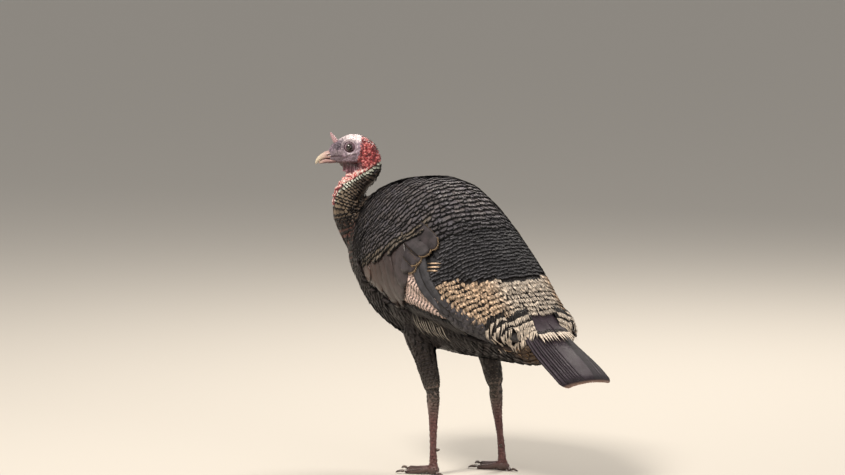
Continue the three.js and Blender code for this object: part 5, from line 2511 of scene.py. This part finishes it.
@dataclass
class Tail:
    """The folded tail feathers and the great coverts that lie over them.

    Attributes:
        feathers: how many tail feathers there are.
        width: how wide one is.
    """

    feathers: int = 18
    width: float = 34.0

    def over(self, form: Form, plan: Array, width: Array, tint: Array, mark: Array, lifts: Array) -> Quills:
        """Lays paths seen from above onto the tail.

        Args:
            form: the surface.
            plan: four (x, y) places to a feather.
            width: each one's width.
            tint: each one's colour.
            mark: each one's marks.
            lifts: each one's root and tip heights.

        Returns:
            The feathers.
        """
        flat = plan.reshape(-1, 2)
        origin = np.concatenate([flat, np.full((len(flat), 1), 200.0)], axis=1)
        hits, normals = form.seen(origin, np.tile(UP, (len(flat), 1)))
        lost = np.isnan(hits[:, 0])
        if lost.any():
            near, _ = form.nearest(np.concatenate([flat[lost], np.full((lost.sum(), 1), 230.0)], axis=1))
            past = flat[lost] - near[:, :2]
            fall = -0.4 * np.abs(past[:, :1]) - 0.5 * np.maximum(past[:, 1:], 0)
            hits[lost], normals[lost] = near + np.concatenate([past, fall], axis=1), UP
        spine = hits.reshape(-1, 4, 3)
        normal = unit(normals.reshape(-1, 4, 3) + 2 * UP)
        length = np.linalg.norm(np.diff(spine, axis=1), axis=2).sum(axis=1)
        place = np.stack([(spine[:, 2, 0] + 110) / 220, (spine[:, 2, 1] - 100) / 250], axis=1)
        return Quills(spine, normal, length, width, place, tint, mark, lifts[:, 0], lifts[:, 1])

    def build(self, form: Form) -> None:
        """Lays and dresses the tail.

        Args:
            form: the surface that the feathers lie on.
        """
        rng = np.random.default_rng(61)
        half = self.feathers // 2
        number = np.concatenate([np.arange(half, 0, -1) - 0.5, -(np.arange(half, 0, -1) - 0.5)])
        number = number[np.argsort(-np.abs(number), kind="stable")]
        foot = np.where(number > 0, 4.0, 1.6)[:, None]
        spread = np.where(number > 0, 1.9, 3.0)[:, None]
        x = number[:, None] * (foot + spread * THIRDS[None]) + rng.normal(0, 0.5, (len(number), 1))
        y = 168 + (184 - 0.7 * np.abs(number))[:, None] * THIRDS[None]
        plan = np.stack([x, y], axis=2)
        layer = -0.75 * np.abs(number)
        lifts = np.stack([layer - 1.2, layer + 0.6 + 0.12 * np.sign(number)], axis=1)
        tint = np.tile(TAIL_SLATE, (len(number), 1)) * rng.uniform(0.85, 1.15, (len(number), 1))
        mark = np.tile([0.25, 0.9, 1.0], (len(number), 1))
        quills = self.over(form, plan, np.full(len(number), self.width), tint, mark, lifts)
        cut = VaneCut(12, 7, 0.4, 0.8, 0.05, 0.06, 0.35, 0.7)
        finish = Plumage(
            "tail_vanes", edge=(0.004, 0.003, 0.004), edge_from=1.2, side_from=0.84, bar=(0.02,
            0.014, 0.014),
            arc=(0.55, 0.36, 0.29), arc_at=(0.965, 1.1), bars=24.0, base=0.0, mottle=0.35, streak=0.25,
            rough=0.55, coat=0.0, barbs=70.0, ragged=0.02, bump=0.2,
        )
        feathered("tail_feathers", Slot.TAIL, finish.material(), (quills, cut, 0.05))
        self.great_coverts(form)

    def great_coverts(self, form: Form) -> None:
        """Lays the broad slate coverts with cream tips and hanging white barbs.

        Args:
            form: the surface that the feathers lie on.
        """
        # middle x at the tip, tip y, width
        rows = np.array([(-24, 248, 30), (1, 255, 64)], float)
        x = rows[:, :1] * (0.45 + 0.55 * THIRDS)[None]
        y = rows[:, 1:2] - 84 * (1 - THIRDS)[None]
        number = len(rows)
        lifts = np.stack([np.linspace(-8.0, -7.0, number), np.linspace(3.0, 4.2, number)], axis=1)
        tint = np.tile(TAIL_SLATE * np.array([1.15, 1.15, 1.12]), (number, 1))
        mark = np.tile([0.5, 1.0, 0], (number, 1))
        quills = self.over(form, np.stack([x, y], axis=2), rows[:, 2], tint, mark, lifts)
        cut = VaneCut(10, 9, 0.5, 0.97, 0.07, 0.1, 0.5)
        finish = Plumage(
            "great_covert_vanes", edge=(0.95, 0.70, 0.46), edge_from=0.94, side_from=1.2,
            fringe=(0.82, 0.74, 0.63),
            bar=(0.02, 0.012, 0.010), bars=42.0, base=0.0, mottle=0.4, streak=0.2, rough=0.6,
            coat=0.0, ragged=0.015,
        )
        feathered("great_coverts", Slot.COVERT, finish.material(), (quills, cut, 0.05))

    def lateral(self, form: Form) -> None:
        """Hangs the pale-fringed coverts down the sides of the tail's root.

        Args:
            form: the surface that the feathers lie on.
        """
        # each strip's lower front end, upper back end, barb length and lift
        strips = (
            ((68, 178, 246), (86, 176, 268), 36, -0.6, 3.4, 0.3),
            ((66, 207, 252), (31, 238, 276), 37, 0.2, 3.6, 0.4),
            ((76, 207, 261), (29, 228, 286), 28, 1.2, 3.0, 0.4),
            ((80, 201, 267), (28, 221, 294), 27, 2.1, 3.0, 0.4),
            ((84, 188, 273), (32, 212, 303), 26, 3.0, 3.0, 0.4),
            ((86, 172, 276), (60, 186, 292), 26, 3.6, 3.0, 0.4),
            ((70, 194, 250), (86, 186, 268), 34, 1.0, 3.2, 0.4),
            ((35, 249, 266), (2, 253, 270), 40, 3.6, 5.4, 0.7),
        )
        rng = np.random.default_rng(66)
        cut = VaneCut(8, 3, 1.0, 0.1, 0.1, 0.05, 0.5, belly=0.42)
        layers = []
        for sign in (1, -1):
            for start, end, long, lift, pitch, lean in strips:
                first, last = np.array(start, float), np.array(end, float)
                number = int(np.linalg.norm(last - first) / pitch)
                at = first + (last - first) * ((np.arange(number) + 0.5) / number)[:, None]
                at[:, 1:] += rng.normal(0, 0.6, (number, 2))
                out, back = rng.normal(0.05, 0.06, number), rng.normal(lean, 0.06, number)
                down = unit(np.stack([out, back, -np.ones(number)], axis=1))
                steps = np.array([-18.0, -9.0, 0.0, long - 18.0])[None, :, None]
                steps = steps * rng.uniform(0.9, 1.1, (number, 1, 1))
                path = (at[:, None] + down[:, None] * steps) * np.array([sign, 1, 1])
                near, facing = form.nearest(path.reshape(-1, 3))
                place = np.stack([(at[:, 1] - 100) / 250, (at[:, 2] - 150) / 250], axis=1)
                mark = np.tile([13.0 / long, 0.0, 0.0], (number, 1))
                quills = Quills(
                    near.reshape(-1, 4, 3), unit(facing.reshape(-1, 4, 3)), np.full(number, float(long)),
                    np.full(number, 0.9 * pitch + 0.9), place, np.tile(PALE_CREAM, (number, 1)), mark,
                    np.full(number, lift - 0.5), np.full(number, lift + 2.0),
                )
                layers.append((quills, cut, 0.01))
        feathered("lateral_coverts", Slot.COVERT, cream_material("lateral_vanes"), *layers)


# ---------------------------------------------------------------- legs and beard


@dataclass
class Legs:
    """The thighs' small feathers, the shanks' and toes' scutes, the claws and the spurs.

    Attributes:
        stance: how far each leg stands from the midline.
        scute: the length and width of a scute on the shank.
        plate: the length and width of a plate on a toe.
        toes: each toe's heading, in degrees, and its length.
    """

    stance: float = 65.0
    scute: tuple[float, float] = (6.6, 7.4)
    plate: tuple[float, float] = (5.6, 9.5)
    toes: tuple[tuple[float, float], ...] = ((4, 72), (-34, 50), (40, 55), (170, 23))

    def build(self, form: Form) -> None:
        """Lays and dresses both legs.

        Args:
            form: the surface that the feathers lie on.
        """
        mesh, scutes = VaneMesh(), VaneMesh()
        for x, shift in ((self.stance, 0), (-self.stance, 1)):
            self.thigh(form, mesh, x, shift)
            self.shank(form, scutes, x, shift)
        finish = Plumage(
            "thigh_vanes", edge=(0.25, 0.205, 0.165), edge_from=0.9, side_from=0.95, mottle=0.7,
            streak=0.6, barbs=14.0,
        )
        finish_piece(mesh.to_object("thigh_feathers"), finish.material())
        hide = Hide("leg_scutes", 1200.0, 0.4, 0.2, 0.42, 0.25, 0.35)
        finish_piece(scutes.to_object("leg_scutes"), hide.material())
        horn = Hide("claw_horn", 900.0, 0.35, 0.0, 0.33, 0.3, 0.3).material()
        for name in sorted(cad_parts):
            if "_claw_" in name or name.endswith("_spur"):
                piece = remeshed(joined_copy(name + "_horn", [name], 0.0), 0.0006, 3)
                points = points_of(piece)
                low, high = points.min(axis=0), points.max(axis=0)
                pale = smooth_step(points[:, 2], low[2], high[2])
                paint(piece, "tint", blend((0.035, 0.024, 0.02), (0.12, 0.075, 0.055), pale))
                shade_smooth(piece)
                finish_piece(piece, horn, [name])

    def ringed(
        self, form: Form, path: Array, reach: float, pitch: float, step: float, shift: int, flow: float
    ) -> Roots:
        """Sets roots in rings round a leg's middle line, from the top down.

        Args:
            form: the surface that the feathers lie on.
            path: the leg's middle line.
            reach: how far off the rays start.
            pitch: the distance between roots in a row.
            step: the distance between rings.
            shift: 0 for the left leg and 1 for the right.
            flow: how far the lie leans back from square on the row, 0 to 1.

        Returns:
            The roots of all rings.
        """
        way = way_along(path)
        stops = np.arange(step / 2, way[-1], step)
        centres = read_along(stops, way, path)
        run = unit(np.gradient(centres, axis=0))
        turns = np.linspace(-math.pi, math.pi, 72)
        outs = rays_round(centres, run, np.array([0.0, -1.0, 0.0]))
        pitches = np.full(len(stops), pitch)
        roots = rows_over(Near(form, reach), centres, outs, turns, pitches, run, flow)
        roots.place[:, 0] = roots.place[:, 0] * 0.48 + 0.5 * shift
        return roots

    def thigh(self, form: Form, mesh: VaneMesh, x: float, shift: int) -> None:
        """Lays the small dark feathers from the flank to the hock.

        Args:
            form: the surface that the feathers lie on.
            mesh: the mesh that takes the feathers or scutes.
            x: where the leg stands from side to side.
            shift: 0 for the left leg and 1 for the right.
        """
        side = math.copysign(1, x)
        hock, knee = (1.0, -44.0) if shift else (-16.0, -66.0)
        path = np.array([
            (x - 4 * side, knee + 14, 268), (x - 2 * side, knee * 0.55 + hock * 0.45, 236),
            (x, hock - 10, 200), (x, hock, 172), (x, hock + 2, 140),
        ])
        roots = self.ringed(form, path, 62, 8.5, 7.5, shift, 0.5)
        roots = roots.kept((roots.at[:, 2] < 262) & (roots.at[:, 2] > 137)).spaced(4.2)
        number = len(roots.at)
        rng = np.random.default_rng(71 + shift)
        size = smooth_step(roots.at[:, 2], 145, 225)
        tint = blend((0.052, 0.043, 0.037), BLACKISH * 0.9, size)
        mark = np.stack([np.zeros(number), 1.0 - 0.75 * size, np.zeros(number)], axis=1)
        quills = plumed(form, roots, 13 + 13 * size, 9 + 7 * size, tint, mark, rng, (-1.3, 0.5))
        mesh.lay(quills, VaneCut(5, 5, 0.5, 0.75, 0.35, 0.15, 0.35), 0.004)

    def shank(self, form: Form, mesh: VaneMesh, x: float, shift: int) -> None:
        """Lays the shank's rings of scutes and the toes' plates.

        Args:
            form: the surface that the feathers lie on.
            mesh: the mesh that takes the feathers or scutes.
            x: where the leg stands from side to side.
            shift: 0 for the left leg and 1 for the right.
        """
        hock, foot = (-1.0, 20.0) if shift else (1.0, -15.0)
        run = foot - hock
        drops = ((0.0, 150), (0.35, 100), (0.7, 55), (1.0, 14))
        path = np.array([(x, hock + run * share, z) for share, z in drops])
        roots = self.ringed(form, path, 17, 7.0, 5.4, shift, 0.9)
        roots = roots.kept((roots.at[:, 2] < 148) & (roots.at[:, 2] > 12)).spaced(3.6)
        number = len(roots.at)
        rng = np.random.default_rng(81 + shift)
        length, width = np.full(number, self.scute[0]), np.full(number, self.scute[1])
        mark = np.zeros((number, 3))
        scutes = plumed(
            form, roots, length, width, leg_colour(roots.at), mark, rng, (-0.5, 0.45), unruly=0.03
        )
        mesh.lay(scutes, VaneCut(4, 5, 0.85, 0.9, 0.2, 0.2, 0.5, 0.5), 0.004)
        for heading, long in self.toes:
            turn = math.radians(-heading if shift else heading)
            way = np.array([math.sin(turn), -math.cos(turn), 0.0])
            stops = np.arange(8, long, 4.3)
            origin = np.array([x, foot, 6.0]) + np.outer(stops, way)
            hits, _ = form.seen(origin, np.tile(UP, (len(stops), 1)), 26)
            fine = ~np.isnan(hits[:, 0])
            if not fine.any():
                continue
            at = hits[fine]
            count = len(at)
            roots = Roots(at, np.tile(way, (count, 1)), (at[:, :2] + 110) / 220, np.zeros(count))
            length, width = np.full(count, self.plate[0]), np.full(count, self.plate[1])
            mark = np.zeros((count, 3))
            plates = plumed(
                form, roots, length, width, leg_colour(at), mark, rng, (-0.35, 0.5), unruly=0.02
            )
            mesh.lay(plates, VaneCut(4, 7, 0.9, 0.92, 0.15, 0.35, 0.5, 0.5), 0.004)


class Near:
    """A form that is only seen within reach of the rays' starts."""

    def __init__(self, form: Form, reach: float) -> None:
        """Holds the form and the reach."""
        self.form = form
        self.reach = reach

    def seen(self, points: Array, directions: Array) -> tuple[Array, Array]:
        """Looks back from just within reach."""
        return self.form.seen(points, directions, self.reach)


@dataclass
class Beard:
    """The short stiff tuft on the breast.

    Attributes:
        strands: how many bristles it has.
    """

    strands: int = 130

    def build(self) -> None:
        """Hangs the bristles where the tuft's solid is."""
        low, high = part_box("beard")
        low, high = AXES.to_bird(np.array(low)), AXES.to_bird(np.array(high))
        rng = np.random.default_rng(91)
        top = np.array([(low[0] + high[0]) / 2, high[1] - 3.5, high[2] - 2])
        feet = top + rng.normal(0, 1.2, (self.strands, 3)) * np.array([1.6, 0.6, 0.8])
        away = np.tile([0.0, -0.36, -1.0], (self.strands, 1)) + rng.normal(0, 0.035, (self.strands, 3))
        long = (high[2] - low[2] - 3) * rng.uniform(0.72, 1.0, self.strands)
        bend = np.array([0.0, 11.0, 0.0]) + rng.normal(0, 0.8, (self.strands, 3))
        mesh = VaneMesh()
        place = np.stack([rng.uniform(0, 1, self.strands), rng.uniform(0, 1, self.strands)], axis=1)
        radius = rng.uniform(0.4, 0.65, self.strands)
        tint = np.tile([0.02, 0.015, 0.013], (self.strands, 1))
        mesh.spikes(feet, away, long, radius, place, tint, bend)
        hair = Hide("beard_black", 800.0, 0.3, 0.0, 0.42, 0.2, 0.2)
        finish_piece(mesh.to_object("beard_bristles"), hair.material(), ["beard"])


# ---------------------------------------------------------------- the studio


@dataclass
class Studio:
    """A pale floor, soft lights and the camera.

    Attributes:
        azimuth: where the camera stands round the bird, in degrees.
        elevation: how high it looks from, in degrees.
        distance: how far off it stands, in millimetres.
        lens: its focal length on a 36 mm sensor.
    """

    azimuth: float = 142.0
    elevation: float = 6.0
    distance: float = 9000.0
    lens: float = 36 * 5000 / 845

    def build(self) -> None:
        """Sets the floor, the world, the lights and the camera."""
        bpy.ops.object.select_all(action="DESELECT")
        bpy.ops.mesh.primitive_plane_add(size=30)
        floor = bpy.context.object
        floor.name = "floor"
        made, g, shader = new_material("floor_pale")
        g.feed(shader, Base_Color=(0.62, 0.58, 0.52, 1), Roughness=0.85)
        floor.data.materials.append(made)
        world = bpy.context.scene.world or bpy.data.worlds.new("studio")
        bpy.context.scene.world = world
        world.use_nodes = True
        sky = world.node_tree.nodes["Background"]
        sky.inputs["Color"].default_value = (1.0, 0.98, 0.96, 1)
        sky.inputs["Strength"].default_value = 0.4
        bpy.context.scene.view_settings.view_transform = "Standard"
        a, e = math.radians(self.azimuth), math.radians(self.elevation)
        right = np.array([math.cos(a), math.sin(a), 0.0])
        back = np.array([math.sin(a) * math.cos(e), -math.cos(a) * math.cos(e), math.sin(e)])
        up = np.cross(back, right)
        target = right * -80.1 + up * 422.1
        self.light("key", target + 1500 * back - 1300 * right + 2600 * up, target, 104, 0.9)
        self.light("fill", target + 2300 * back + 1700 * right + 500 * up, target, 16, 1.6)
        self.light("rim", target - 1700 * back + 900 * right + 2300 * up, target, 66, 1.0)
        place = bpy.data.cameras.new("camera")
        place.lens, place.sensor_width, place.clip_end = self.lens, 36, 100
        camera = bpy.data.objects.new("camera", place)
        bpy.context.collection.objects.link(camera)
        self.aim(camera, target + back * self.distance, target)
        bpy.context.scene.camera = camera

    def aim(self, obj: Object, at: Array, target: Array) -> None:
        """Sets a light or camera down and turns it to a target.

        Args:
            obj: the object.
            at: where it is set down.
            target: what it faces.
        """
        spot, goal = Vector(AXES.to_frame(at)), Vector(AXES.to_frame(target))
        obj.location = spot
        obj.rotation_euler = (goal - spot).to_track_quat("-Z", "Y").to_euler()

    def light(self, name: str, at: Array, target: Array, power: float, size: float) -> None:
        """Hangs one soft square light.

        Args:
            name: its name.
            at: where it is set down.
            target: what it faces.
            power: its strength, in watts.
            size: how far apart its crests are.
        """
        lamp = bpy.data.lights.new(name, "AREA")
        lamp.energy, lamp.size = power, size
        lamp.color = (1.0, 0.93, 0.84)
        obj = bpy.data.objects.new(name, lamp)
        bpy.context.collection.objects.link(obj)
        self.aim(obj, at, target)


def main() -> None:
    """Builds the bird and the studio, piece by piece."""
    logging.basicConfig(level=logging.INFO, format="%(name)s: %(message)s")
    without_wings = [name for name in FLESH if "wing" not in name]
    whole, trunk = Form(FLESH), Form(without_wings)
    LOG.info("forms made")
    Studio().build()
    Skin().build()
    Head().build(whole)
    NeckPlumage().build(trunk)
    UnderPlumage().build(trunk)
    BackPlumage().build(whole)
    Wing(1, 100).build(whole)
    Wing(-1, 200).build(whole)
    Tail().build(trunk)
    Tail().lateral(whole)
    Legs().build(trunk)
    Beard().build()
    LOG.info("all pieces made")


if __name__ == "__main__":
    main()
